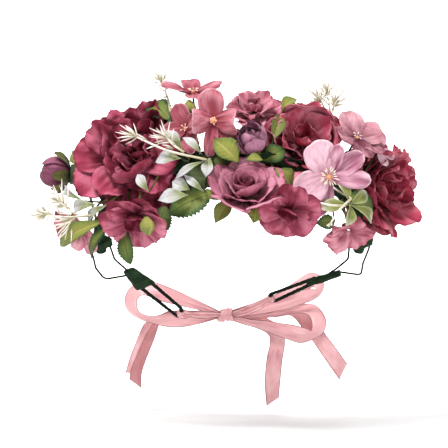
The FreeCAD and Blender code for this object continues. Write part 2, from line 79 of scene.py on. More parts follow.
# Where a bloom sits: how far across, back and up its middle is from the origin, then where
# it faces and its radius.
Bloom = namedtuple("Bloom", "spot yaw pitch size")


def plane_point(across, back, lift=0.0):
    """A point in the plane of the band: across to the wearer's left, and to the back."""
    turn = Matrix.Rotation(math.radians(-BAND_TILT), 3, "X")
    return turn @ Vector((across, back, lift))


def band_point(angle, radius, lift):
    """A point by its angle round the band from the front, its radius and its height."""
    turn = math.radians(angle)
    return plane_point(radius * math.sin(turn), -radius * math.cos(turn), lift)


def bundle_point(spot):
    """The point of the stem bundle that a place on the crown stands over."""
    level = Matrix.Rotation(math.radians(BAND_TILT), 3, "X") @ Vector(spot)
    return band_point(math.degrees(math.atan2(level.x, -level.y)), BAND_RADIUS, 0)


def facing(yaw, pitch):
    """The direction of a bloom that is turned sideways by yaw and up by pitch."""
    side = math.radians(yaw)
    rise = math.radians(pitch)
    return Vector((math.sin(side) * math.cos(rise), -math.cos(side) * math.cos(rise), math.sin(rise)))


def standing(position, direction):
    """A matrix whose Z looks along the direction and whose X stays level."""
    ahead = direction.normalized()
    across = Vector((0, 0, 1)).cross(ahead).normalized()
    up = ahead.cross(across)
    turn = Matrix((across, up, ahead)).transposed().to_4x4()
    return Matrix.Translation(position) @ turn


def spoke(turn):
    """The direction at an angle round a flower's axis, in radians."""
    return Vector((math.cos(turn), math.sin(turn), 0))


def bloom_matrix(bloom):
    """The frame of a bloom: Z along its axis, X to its right and Y up as it is looked at."""
    return standing(Vector(bloom.spot), facing(bloom.yaw, bloom.pitch))


def smooth_line(points, steps):
    """Points along a smooth curve through the given points, with steps to each stretch."""
    ends = [points[0] * 2 - points[1]] + list(points) + [points[-1] * 2 - points[-2]]
    line = []
    for a, b, c, d in zip(ends, ends[1:], ends[2:], ends[3:]):
        for step in range(steps):
            t = step / steps
            line.append(0.5 * (2 * b + (c - a) * t + (2 * a - 5 * b + 4 * c - d) * t * t
                               + (3 * b - a - 3 * c + d) * t * t * t))
    line.append(points[-1].copy())
    return line


# ---------------------------------------------------------------- meshes

class Cloth:
    """Collects patches of points into one mesh. Every point carries a mark of four numbers:
    how far across and along its petal or leaf it is, its tone, partly the piece's own and partly painted
    light and shade, and the edge."""

    def __init__(self):
        self.points = []
        self.marks = []
        self.faces = []

    def patch(self, rows, closed=False, capped=False):
        """Add rows of points with their marks, closed round each row and capped at its ends or not."""
        start = len(self.points)
        width = len(rows[0])
        for row in rows:
            for point, mark in row:
                self.points.append(point)
                self.marks.append(mark)
        for upper in range(len(rows) - 1):
            for left in range(width if closed else width - 1):
                right = (left + 1) % width
                low = start + upper * width
                self.faces.append((low + left, low + right, low + width + right, low + width + left))
        if capped:
            last = start + (len(rows) - 1) * width
            self.faces.append(tuple(start + k for k in reversed(range(width))))
            self.faces.append(tuple(last + k for k in range(width)))

    def piece(self, name, material, slot, thickness=0.0):
        """Make the mesh object, in metres, with a thickness if it is a single skin."""
        mesh = bpy.data.meshes.new(name)
        mesh.from_pydata([tuple(point * MM) for point in self.points], [], self.faces)
        mesh.attributes.new("mark", "FLOAT_COLOR", "POINT")
        flat = [value for mark in self.marks for value in mark]
        mesh.attributes["mark"].data.foreach_set("color", flat)
        mesh.polygons.foreach_set("use_smooth", [True] * len(mesh.polygons))
        mesh.materials.append(material)
        mesh.update()
        piece = bpy.data.objects.new(name, mesh)
        bpy.context.scene.collection.objects.link(piece)
        if thickness:
            solid = piece.modifiers.new("thickness", "SOLIDIFY")
            solid.thickness = thickness * MM
            solid.offset = 0.0
        return piece


def grid(rows, columns, place):
    """Rows of points with their marks, each from the numbers of its row and its column."""
    return [[place(row, column) for column in range(columns)] for row in range(rows)]


# A petal: its length and greatest width, the angle from the flower's axis that it starts and
# ends at, how far it cups across, and what its rim does: the depth and number of its waves,
# its teeth, a notch in its tip, and how far the rim rolls back. Crumple is its unevenness.
Petal = namedtuple("Petal", "length width start end cup ruffle waves teeth notch roll crumple")
PETAL_COLUMNS = 28
PETAL_ROWS = 18
TEETH_ACROSS = 27
# How wide a petal is at its root, as a part of its greatest width.
ROOT_SHARE = 0.3
# Painted highlight on the ridges of a petal's folds and painted shade in their valleys, through its tone.
FOLD_LIGHT_AND_SHADE = 0.42
FOLD_DEPTH = 1.1


def petal(cloth, matrix, turn, root, shape, tone, seed):
    """One petal that grows from its root (radius and height) and opens outward from the axis."""
    turn = math.radians(turn)
    out = spoke(turn)
    side = Vector((-math.sin(turn), math.cos(turn), 0))
    axis = Vector((0, 0, 1))
    first = math.radians(shape.start)
    bend = math.radians(shape.end - shape.start)
    cup = math.radians(shape.cup) / shape.width
    phase = seed * 2.4

    def place(row, column):
        along = row / PETAL_ROWS
        across = 2 * column / PETAL_COLUMNS - 1
        rim_turn = math.atan2(across, along - 0.15)
        rim = max(along, abs(across) * min(1.0, along * 1.6))
        step = rim_turn * TEETH_ACROSS / math.pi * 2 + noise.noise((seed, rim_turn * 3, 0))
        tooth = abs(step % 1 - 0.5)
        ragged = shape.teeth * (tooth * 2 - 0.5) * rim ** 12
        ragged += 0.05 * noise.noise((rim_turn * 2.5, seed * 1.7, 3.1)) * rim ** 4
        top = 0.62 + 0.38 * math.sqrt(max(0.0, 1 - abs(across) ** 2.3))
        top -= shape.notch * math.exp(-((across - 0.1 * math.sin(phase)) / 0.22) ** 2) * along ** 3
        spread = math.sin(min(1.0, along * 1.25) * math.pi / 2)
        half = shape.width / 2 * (ROOT_SHARE + (1 - ROOT_SHARE) * spread)
        x = across * half * (1 + ragged)
        s = along * top * (1 + ragged)
        angle = first + bend * s
        if abs(bend) > 1e-3:
            reach = shape.length * (math.cos(first) - math.cos(angle)) / bend
            rise = shape.length * (math.sin(angle) - math.sin(first)) / bend
        else:
            reach = shape.length * s * math.sin(first)
            rise = shape.length * s * math.cos(first)
        lift = 0.0
        if abs(cup) > 1e-4:
            lift = (1 - math.cos(x * cup)) / cup
            x = math.sin(x * cup) / cup
        wave = math.sin(rim_turn * shape.waves + phase)
        wave += 0.6 * math.sin(rim_turn * shape.waves * 1.7 + phase * 2)
        fold = shape.ruffle * wave * rim ** 3
        fold += shape.crumple * noise.noise((across * 1.6 + seed, along * 2.2, seed * 0.7))
        fold += shape.crumple * 0.45 * noise.noise((across * 5 + seed, along * 3.5, seed))
        lift += fold - shape.roll * rim ** 5
        normal = axis * math.sin(angle) - out * math.cos(angle)
        point = out * (root[0] + reach) + axis * (root[1] + rise) + side * x + normal * lift
        # Painted light and shade: the tone rises on the ridges of the folds and falls in their valleys.
        shade = tone + FOLD_LIGHT_AND_SHADE * math.tanh(fold / FOLD_DEPTH)
        return matrix @ point, (across * 0.5 + 0.5, along, min(1.0, max(0.0, shade)), rim)

    cloth.patch(grid(PETAL_ROWS + 1, PETAL_COLUMNS + 1, place))


# A ring of petals: how many, the turn of the first, their root as a part of the flower's
# radius, their shape with its lengths as parts of that radius too, and their tone, which is
# lower in the inner rings as painted shade in the heart of the flower.
Ring = namedtuple("Ring", "count turn root shape tone")


def sized(shape, size):
    """A petal shape given in parts of the flower's radius, at its real size."""
    names = ("length", "width", "ruffle", "roll", "crumple")
    return shape._replace(**{name: getattr(shape, name) * size for name in names})


def ring_of_petals(cloth, matrix, size, ring, draw, jitter=9.0):
    """Place the petals of a ring round the axis, no two quite alike."""
    for index in range(ring.count):
        turn = ring.turn + 360.0 * index / ring.count + draw.uniform(-jitter, jitter)
        stretch = draw.uniform(0.92, 1.08)
        lean = draw.uniform(-6, 6)
        shape = sized(ring.shape, size)
        shape = shape._replace(
            length=shape.length * stretch,
            width=shape.width * draw.uniform(0.92, 1.08),
            start=shape.start + lean,
            end=shape.end + lean * 1.5,
        )
        root = (ring.root[0] * size, ring.root[1] * size + draw.uniform(-0.4, 0.4))
        tone = min(1.0, max(0.0, ring.tone + draw.uniform(-0.14, 0.14)))
        petal(cloth, matrix, turn, root, shape, tone, draw.uniform(0, 50))


LEAF_COLUMNS = 12
LEAF_ROWS = 56
TEETH_ALONG = 11


def leaf_blade(cloth, base, tip, width, tone, seed, teeth=0.0, fold=0.18, arch=0.12, blunt=0.55,
               widest=0.5, face=None, twist=0.0):
    """A leaf from its base to its tip: folded along its middle, arched, its edge toothed or plain."""
    run = tip - base
    length = run.length
    forward = run.normalized()
    outward = face if face is not None else (base + tip).normalized()
    side = forward.cross(outward).normalized()
    normal = side.cross(forward).normalized()
    power = math.log(0.5) / math.log(widest)

    def place(row, column):
        along = row / LEAF_ROWS
        across = 2 * column / LEAF_COLUMNS - 1
        outline = math.sin(math.pi * along ** power) ** blunt if 0 < row < LEAF_ROWS else 0.02
        saw = 1 - (along * TEETH_ALONG) % 1
        x = across * (width / 2 * outline * (1 + teeth * (saw - 0.5)))
        lift = fold * abs(x) + arch * length * math.sin(math.pi * along)
        lift -= 0.35 * arch * length * along ** 3
        lift += width * 0.06 * noise.noise((across * 2 + seed, along * 4, seed)) * abs(across) ** 0.5
        vein = (along * 7 - abs(across) * 1.2) % 1
        lift += 0.012 * width * math.sin(vein * 2 * math.pi) * abs(across)
        swing = Matrix.Rotation(twist * along, 3, forward) @ (side * x + normal * lift)
        mark = (across * 0.5 + 0.5, along, tone, max(abs(across), along * 0.9))
        return base + run * along + swing, mark

    cloth.patch(grid(LEAF_ROWS + 1, LEAF_COLUMNS + 1, place))


def round_bar(cloth, line, radii, tone=0.5, sides=8, ridge=0.0, ridge_step=2.0, seed=0.0):
    """A round bar along a line of points. The radii run along it, and ridges wind round it."""
    count = len(line)
    travelled = 0.0
    up = Vector((0.13, 0.31, 0.94))
    rows = []
    for index, point in enumerate(line):
        ahead = (line[min(index + 1, count - 1)] - line[max(index - 1, 0)]).normalized()
        if index:
            travelled += (point - line[index - 1]).length
        part = index / (count - 1)
        place = part * (len(radii) - 1)
        low = min(int(place), len(radii) - 2)
        radius = radii[low] + (radii[low + 1] - radii[low]) * (place - low)
        across = up.cross(ahead).normalized()
        up = ahead.cross(across).normalized()
        spots = []
        for side in range(sides):
            turn = 2 * math.pi * side / sides
            wind = (travelled / ridge_step + side / sides) % 1
            bump = ridge * (wind - 0.5) + ridge * 1.2 * noise.noise(
                (travelled * 0.45, math.cos(turn) * 1.3, math.sin(turn) * 1.3 + seed))
            swell = radius + bump
            spot = point + across * math.cos(turn) * swell + up * math.sin(turn) * swell
            spots.append((spot, (side / sides, part, tone, wind)))
        rows.append(spots)
    cloth.patch(rows, closed=True, capped=True)


def stem(cloth, spot, radius, sag):
    """A thin stem from a place on the crown to the bundle below it, with a slight bow."""
    start = Vector(spot)
    end = bundle_point(spot)
    middle = (start + end) * 0.5 + Vector((0, 0, -sag))
    round_bar(cloth, smooth_line([start, middle, end], 5), (radius * 0.8, radius))


def fasten(piece, body, *nodes):
    """Let a piece stand for CAD nodes and ride on their body."""
    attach(piece, body)
    if nodes:
        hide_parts(*nodes)
    return piece


# ---------------------------------------------------------------- materials

def dye(red, green, blue):
    """A colour as it shows on a screen, from 0 to 255, as the shader wants it."""
    return tuple((value / 255) ** 2.2 for value in (red, green, blue))


def shaded(colour, amount):
    """A colour made darker or brighter."""
    return [min(1, value * amount) for value in colour]


class Value:
    """An output of a shader node, which sums can be done on."""

    def __init__(self, surface, socket):
        self.surface = surface
        self.socket = socket

    def calc(self, operation, other=0.0, clamp=False):
        """One sum on this value, with another one where it takes two."""
        return self.surface.add("Math", {0: self, 1: other}, operation=operation, use_clamp=clamp)

    def __add__(self, other):
        return self.calc("ADD", other)

    def __sub__(self, other):
        return self.calc("SUBTRACT", other)

    def __mul__(self, other):
        return self.calc("MULTIPLY", other)

    def between(self, low, high):
        """The value stretched so that low becomes 0 and high becomes 1, and clamped there."""
        inputs = {"Value": self, "From Min": low, "From Max": high}
        return self.surface.add("MapRange", inputs, clamp=True)


class Surface:
    """A material in the making."""

    def __init__(self, name, roughness, sheen=0.0, specular=0.5):
        self.material = bpy.data.materials.new(name)
        self.material.use_nodes = True
        self.tree = self.material.node_tree
        self.shader = self.tree.nodes["Principled BSDF"]
        self.shader.inputs["Roughness"].default_value = roughness
        self.shader.inputs["Sheen Weight"].default_value = sheen
        self.shader.inputs["Sheen Roughness"].default_value = 0.35
        self.shader.inputs["Specular IOR Level"].default_value = specular

    def add(self, kind, inputs=(), output=0, **settings):
        """Add a shader node: its settings, then its inputs as numbers, colours or other values."""
        node = self.tree.nodes.new("ShaderNode" + kind)
        for name, value in settings.items():
            setattr(node, name, value)
        for name, value in dict(inputs).items():
            if isinstance(value, Value):
                self.tree.links.new(value.socket, node.inputs[name])
            else:
                node.inputs[name].default_value = value
        return Value(self, node.outputs[output])

    def marks(self):
        """How far across and along its petal a point is, its tone, and how near the edge."""
        mark = self.add("Attribute", output="Color", attribute_name="mark")
        parts = self.add("SeparateColor", {"Color": mark}).socket.node.outputs
        return *[Value(self, parts[k]) for k in range(3)], Value(self, mark.socket.node.outputs["Alpha"])

    def mixed(self, amount, first, second):
        """Two colours mixed by an amount."""
        first, second = (c if isinstance(c, Value) else (*c, 1.0) for c in (first, second))
        return self.add("Mix", {0: amount, 6: first, 7: second}, 2, data_type="RGBA", blend_type="MIX")

    def speckle(self, scale, detail):
        """A noise value over the piece. The scale is in grains to the metre."""
        where = self.add("TexCoord", output="Object")
        return self.add("TexNoise", {"Vector": where, "Scale": scale, "Detail": detail}, "Fac")

    def streaks(self, x, y, z=0.0):
        """A noise value that is drawn out by its three values."""
        where = self.add("CombineXYZ", {"X": x, "Y": y, "Z": z})
        return self.add("TexNoise", {"Vector": where, "Scale": 1.0, "Detail": 2}, "Fac")

    def finished(self, colour, relief, strength, depth):
        """The material, with its colour and a relief of a depth in millimetres."""
        self.tree.links.new(colour.socket, self.shader.inputs["Base Color"])
        inputs = {"Height": relief, "Strength": strength, "Distance": depth * MM}
        bump = self.add("Bump", inputs, "Normal")
        self.tree.links.new(bump.socket, self.shader.inputs["Normal"])
        return self.material


def petal_material(name, deep, main, pale, rim, rim_strength=0.7, vein=0.25, dye_and_shade_depth=0.4):
    """Pressed cloth: deep at its base, partly dye and partly painted shade, paler outward, with painted
    light and shade from its tone, finely veined, with a thin fused rim.
    """
    deep, main, pale, rim = (dye(*colour) for colour in (deep, main, pale, rim))
    surface = Surface(name + "_petals", roughness=0.75, sheen=0.08, specular=0.2)
    across, along, tone, edge = surface.marks()
    # Deep in the heart, partly the dye and partly painted shade in the shaded heart of the flower, then
    # the main colour, then paler in worn places and in painted highlights where the tone is high.
    patches = surface.speckle(90, 4)
    reach = along + (patches - 0.5) * 0.5
    colour = surface.mixed(reach.between(0.05, dye_and_shade_depth + 0.35), deep, main)
    worn = patches.between(0.45, 0.75) * along.between(0.35, 0.9)
    light = (worn * 0.45).calc("ADD", tone - 0.5, clamp=True)
    colour = surface.mixed(light, colour, pale)
    # Painted shade: a low tone, in fold valleys, inner rings and petals that lie in shade, mixes in the
    # deep colour.
    colour = surface.mixed(tone.between(0.5, 0.0) * 0.85, colour, deep)
    # Veins fan out from the base and fade towards the rim.
    veins = surface.streaks(across * 34, along * 3, tone * 9)
    colour = surface.mixed(veins.between(0.52, 0.7) * vein, colour, deep)
    # The rim is a thin line, broken here and there.
    broken = surface.speckle(260, 2).between(0.35, 0.6)
    colour = surface.mixed(edge.between(0.945, 0.985) * broken * rim_strength, colour, rim)
    return surface.finished(colour, surface.speckle(2600, 2) + veins * 1.6, 0.5, 0.25)


def leaf_material(name, main, border, vein, middle=None, tip=None, tip_start=0.5):
    """Printed cloth leaf: veined, with its border and its middle or its tip in colours of their own, and
    darker as painted shade where its tone is low.
    """
    surface = Surface(name, roughness=0.6, sheen=0.1, specular=0.3)
    main = dye(*main)
    across, along, tone, edge = surface.marks()
    off_middle = (across - 0.5).calc("ABSOLUTE") * 2
    patches = surface.speckle(120, 4)
    bright = surface.mixed(patches.between(0.3, 0.7), shaded(main, 0.72), shaded(main, 1.25))
    colour = surface.mixed((edge + patches * 0.3).between(0.75, 1.15), bright, dye(*border))
    if middle:
        glow = off_middle.between(0.75, 0.05) * along.between(0.95, 0.5)
        colour = surface.mixed(glow * 0.8, colour, dye(*middle))
    if tip:
        fade = along + (patches - 0.5) * 0.5
        colour = surface.mixed(fade.between(tip_start - 0.18, tip_start + 0.22), colour, dye(*tip))
    # The midrib and the side veins.
    slant = along * 7 - off_middle * 1.2
    wave = (slant.calc("FRACT") - 0.5).calc("ABSOLUTE")
    side_veins = wave.between(0.10, 0.02) * 0.45
    veins = side_veins.calc("MAXIMUM", off_middle.between(0.10, 0.03))
    colour = surface.mixed(veins * 0.7, colour, dye(*vein))
    # Painted shade: a leaf with a low tone, one that lies in shade, is darkened.
    colour = surface.mixed(tone.between(0.5, 0.0), colour, shaded(main, 0.35))
    return surface.finished(colour, veins * -0.8 + surface.speckle(2400, 2) * 0.5, 0.6, 0.3)


def satin_material():
    """Pale pink satin: a glossy warp with a soft sheen, and a darker woven edge."""
    surface = Surface("pink_satin", roughness=0.30, sheen=0.25, specular=0.6)
    surface.shader.inputs["Anisotropic"].default_value = 0.5
    across, along, tone, edge = surface.marks()
    streaks = surface.streaks(across * 70, along * 14)
    colour = surface.mixed(streaks.between(0.3, 0.75), dye(218, 158, 161), dye(226, 170, 172))
    # Soft folds run along the ribbon: some stand in the light and some in the shade.
    folds = surface.streaks(across * 2.2, along * 6, tone * 7)
    colour = surface.mixed(folds.between(0.54, 0.74) * 0.6, colour, dye(246, 208, 212))
    colour = surface.mixed(folds.between(0.44, 0.30) * 0.7, colour, dye(184, 114, 128))
    # Painted shade: a piece with a low tone, most of all the turned front left tail, is darkened.
    colour = surface.mixed(tone.between(0.5, 0.0), colour, dye(158, 92, 94))
    colour = surface.mixed(edge.between(0.86, 0.93) * 0.9, colour, dye(132, 80, 82))
    return surface.finished(colour, streaks * 0.5 + surface.speckle(3200, 1), 0.25, 0.15)


def crepe_material():
    """Dark green floral tape: crinkled waxed crepe paper, wound so that its edges show."""
    surface = Surface("green_crepe", roughness=0.8, specular=0.12)
    tone, edge = surface.marks()[2:]
    crinkle = surface.speckle(900, 5)
    patches = surface.speckle(110, 3)
    colour = surface.mixed(patches.between(0.35, 0.7), dye(16, 32, 20), dye(38, 60, 38))
    colour = surface.mixed(crinkle.between(0.55, 0.75) * 0.35, colour, dye(74, 96, 60))
    colour = surface.mixed(tone.between(0.5, 0.0), colour, dye(16, 22, 16))
    colour = surface.mixed(edge.between(0.93, 0.99) * 0.5, colour, (0.005, 0.012, 0.006))
    return surface.finished(colour, crinkle + surface.speckle(260, 4) * 1.5, 0.8, 0.5)


def wire_material():
    """Steel wire under a thin green plastic coat, scuffed in places."""
    surface = Surface("green_coated_wire", roughness=0.7, specular=0.12)
    scuffs = surface.speckle(700, 4)
    colour = surface.mixed(scuffs.between(0.4, 0.7), dye(18, 24, 16), dye(40, 48, 32))
    return surface.finished(colour, surface.speckle(1500, 3), 0.3, 0.1)


def moulded_material(name, main, tip, grain=0.4, roughness=0.5):
    """Soft moulded plastic that changes colour towards its tips."""
    surface = Surface(name, roughness=roughness, specular=0.4)
    along, tone = surface.marks()[1:3]
    patches = surface.speckle(350, 4)
    fade = along + (patches - 0.5) * 0.6
    colour = surface.mixed(fade.between(0.15, 0.7), main, tip)
    colour = surface.mixed(tone.between(0.5, 0.0), colour, shaded(main, 0.3))
    return surface.finished(colour, patches, grain, 0.3)


# Petals: their colour in the heart, also used for painted shade, their main colour, the pale one for worn
# places and painted highlights, and the rim's.
BURGUNDY = petal_material("burgundy", (74, 8, 26), (162, 62, 86),
                          (206, 118, 140), (70, 12, 28), 0.85, dye_and_shade_depth=0.5)
MAGENTA = petal_material("magenta_rose", (112, 12, 36), (182, 80, 102),
                         (230, 156, 172), (92, 18, 38), 0.8)
CORAL = petal_material("coral", (108, 10, 34), (172, 66, 88), (218, 136, 148), (96, 16, 34), 0.8)
DUSTY = petal_material("dusty_rose", (96, 22, 42), (188, 116, 138), (222, 160, 180), (104, 24, 42), 0.9)
ROSY = petal_material("rosy_blossom", (100, 18, 40), (174, 84, 106),
                      (210, 132, 152), (104, 28, 48), 0.8, 0.45)
FADED = petal_material("faded_blossom", (122, 44, 62), (196, 122, 138),
                       (224, 168, 178), (130, 52, 70), 0.7, 0.45)
LILAC = petal_material("lilac", (62, 12, 34), (176, 120, 144), (208, 154, 182), (50, 10, 28), 0.95, 0.4)
PLUM = petal_material("plum_bud", (52, 10, 26), (142, 82, 106),
                      (176, 118, 142), (48, 10, 26), 0.95, 0.9)
HYDRANGEA = petal_material("pink_hydrangea", (128, 50, 62), (182, 108, 120),
                           (220, 166, 176), (228, 184, 192), 0.7, 0.55)
DUSTY_FLORET = petal_material("dusty_hydrangea", (92, 36, 54), (194, 136, 146),
                              (226, 182, 192), (150, 92, 104), 0.7, 0.5)
PALE = petal_material("pale_hydrangea", (140, 76, 100), (206, 158, 174),
                      (234, 204, 212), (238, 210, 216), 0.7, 0.45, 0.1)
# Leaves: their main colour, their border's, their veins' and that of their middle or tip.
DARK_LEAF = leaf_material("dark_leaf", (74, 96, 44), (40, 66, 36), (56, 78, 36), (128, 132, 60))
LIME_LEAF = leaf_material("lime_leaf", (120, 128, 58), (84, 100, 46), (154, 158, 92), (140, 134, 66))
FROSTED_LEAF = leaf_material("frosted_leaf", (116, 122, 72), (156, 160, 138), (150, 154, 116),
                             tip=(184, 182, 186), tip_start=0.45)
ROSETTE_LEAF = leaf_material("rosette_leaf", (118, 124, 66), (162, 164, 120), (146, 148, 96),
                             tip=(200, 198, 180), tip_start=0.8)
SATIN = satin_material()
CREPE = crepe_material()
WIRE = wire_material()
IVORY = moulded_material("ivory_plastic", dye(176, 168, 134), dye(232, 224, 216))
CALYX = moulded_material("olive_calyx", dye(48, 52, 26), dye(92, 92, 44), grain=0.8, roughness=0.7)
PEACH = moulded_material("peach_stamens", dye(196, 104, 72), dye(226, 150, 116))
CREAM = moulded_material("cream_filaments", dye(206, 158, 128), dye(244, 224, 204))
# Painted shade: near-black, for the shaded hollow in a flower's middle.
HEART_SHADE = moulded_material("painted_shade_flower_heart", (0.008, 0.004, 0.005), (0.03, 0.012, 0.016), roughness=0.8)


# ---------------------------------------------------------------- flowers

# Rows of petals give a petal's turn, the radius and height of its root, its length, width, start, end,
# cup and tone. The first line of a table is the rim that its petals share, from ruffle to crumple, and a
# petal with a rim of its own has it at the end of its row. A row of a ring starts with its count.
# The tone of a petal is partly its own and partly painted light and shade: petals that lie in shade are
# set low and lit ones high.
Single = namedtuple("Single", "turn root shape tone")


def shaped(rim, row):
    """The root, the shape and the tone of a petal from the end of its row."""
    radius, height, length, width, start, end, cup, tone, *own = row
    return (radius, height), Petal(length, width, start, end, cup, *(own or rim)), tone


def singles(rim, *rows):
    """Petals that stand where they are put, in millimetres."""
    return [Single(row[0], *shaped(rim, row[1:])) for row in rows]


def rings(rim, *rows):
    """Rings of petals, whose lengths are parts of the flower's radius, from the outside in."""
    return [Ring(*row[:2], *shaped(rim, row[2:])) for row in rows]


ROSE = Bloom((10, -98, 37), 0, 50, 23)
RANUNCULUS = Bloom((14, -84, 67), -15, 40, 12.5)
ROSE_BUD = Bloom((-125, 18, 48), -85, 5, 12)

PEONY_OUTER_RINGS = rings(
    (0.050, 5, 0.030, 0.0, 0.05, 0.10),
    (6, 12, 0.08, -0.66, 1.06, 1.10, 86, 62, 40, 0.46),
    (6, 42, 0.08, -0.60, 1.02, 1.05, 74, 40, 60, 0.58, 0.055, 5, 0.030, 0.0, 0.08, 0.11),
    (5, 10, 0.08, -0.54, 1.00, 1.00, 56, 20, 80, 0.55, 0.055, 4, 0.028, 0.0, 0.08, 0.11),
)
PEONY_INNER_RINGS = rings(
    (0.055, 4, 0.028, 0.0, 0.05, 0.12),
    (5, 50, 0.07, -0.50, 0.96, 0.86, 42, 4, 100, 0.54),
    (4, 90, 0.05, -0.46, 0.88, 0.74, 28, -14, 120, 0.46, 0.050, 3, 0.028, 0.0, 0.03, 0.12),
    (4, 30, 0.03, -0.44, 0.76, 0.56, 14, -30, 140, 0.30, 0.060, 3, 0.026, 0.0, 0.0, 0.13),
)
ROSE_OUTER_RINGS = rings(
    (0.03, 3, 0.01, 0.0, 0.16, 0.06),
    (5, -54, 0.16, -0.42, 1.00, 1.20, 88, 14, 50, 0.66),
    (4, -20, 0.14, -0.38, 0.90, 1.20, 80, 2, 70, 0.56, 0.02, 3, 0.01, 0.0, 0.12, 0.05),
)
ROSE_INNER_RINGS = rings(
    (0.02, 3, 0.01, 0.0, 0.10, 0.04),
    (3, 60, 0.12, -0.34, 0.74, 1.15, 66, -8, 100, 0.52),
    (3, 15, 0.08, -0.30, 0.62, 0.95, 48, -10, 130, 0.44, 0.02, 2, 0.01, 0.0, 0.08, 0.03),
    (3, 80, 0.05, -0.26, 0.50, 0.70, 34, -8, 150, 0.34, 0.02, 2, 0.01, 0.0, 0.06, 0.03),
    (2, 30, 0.03, -0.22, 0.42, 0.46, 20, -4, 160, 0.22, 0.02, 2, 0.01, 0.0, 0.04, 0.02),
)
BUD_RINGS = rings(
    (0.02, 3, 0.03, 0.0, 0.0, 0.05),
    (5, 10, 0.10, -0.85, 1.90, 1.30, 76, -30, 100, 0.50),
    (5, 46, 0.10, -0.80, 1.80, 1.20, 66, -42, 100, 0.45),
    (4, 20, 0.08, -0.72, 1.55, 0.95, 52, -48, 110, 0.35),
)
CLOSED_BUD_RINGS = rings(
    (0.0, 3, 0.01, 0.0, 0.0, 0.04),
    (6, 10, 0.16, -0.92, 2.35, 1.10, 84, -66, 70, 0.50),
    (6, 40, 0.14, -0.90, 2.30, 1.10, 80, -68, 70, 0.40),
)
BLOSSOM_RINGS = rings(
    (0.085, 4, 0.05, 0.06, 0.05, 0.10),
    (6, 15, 0.06, -0.25, 0.98, 0.95, 84, 60, 30, 0.52),
    (5, 50, 0.05, -0.18, 0.80, 0.80, 62, 30, 50, 0.50, 0.090, 4, 0.05, 0.0, 0.04, 0.10),
    (3, 20, 0.03, -0.10, 0.50, 0.50, 35, 0, 80, 0.38, 0.080, 3, 0.04, 0.0, 0.0, 0.08),
)
# A looser flower, with fewer and broader petals.
LOOSE_OUTER_RINGS = rings(
    (0.07, 4, 0.02, 0.0, 0.06, 0.10),
    (5, 30, 0.08, -0.60, 1.08, 1.30, 84, 44, 50, 0.56),
    (5, 66, 0.08, -0.54, 1.06, 1.15, 70, 22, 70, 0.66, 0.07, 4, 0.02, 0.0, 0.08, 0.10),
)
LOOSE_INNER_RINGS = rings(
    (0.06, 3, 0.02, 0.0, 0.06, 0.10),
    (4, 20, 0.10, -0.50, 1.00, 1.00, 52, 6, 80, 0.74),
    (2, 70, 0.06, -0.46, 0.74, 0.80, 26, -10, 120, 0.40, 0.05, 3, 0.02, 0.0, 0.0, 0.10),
)

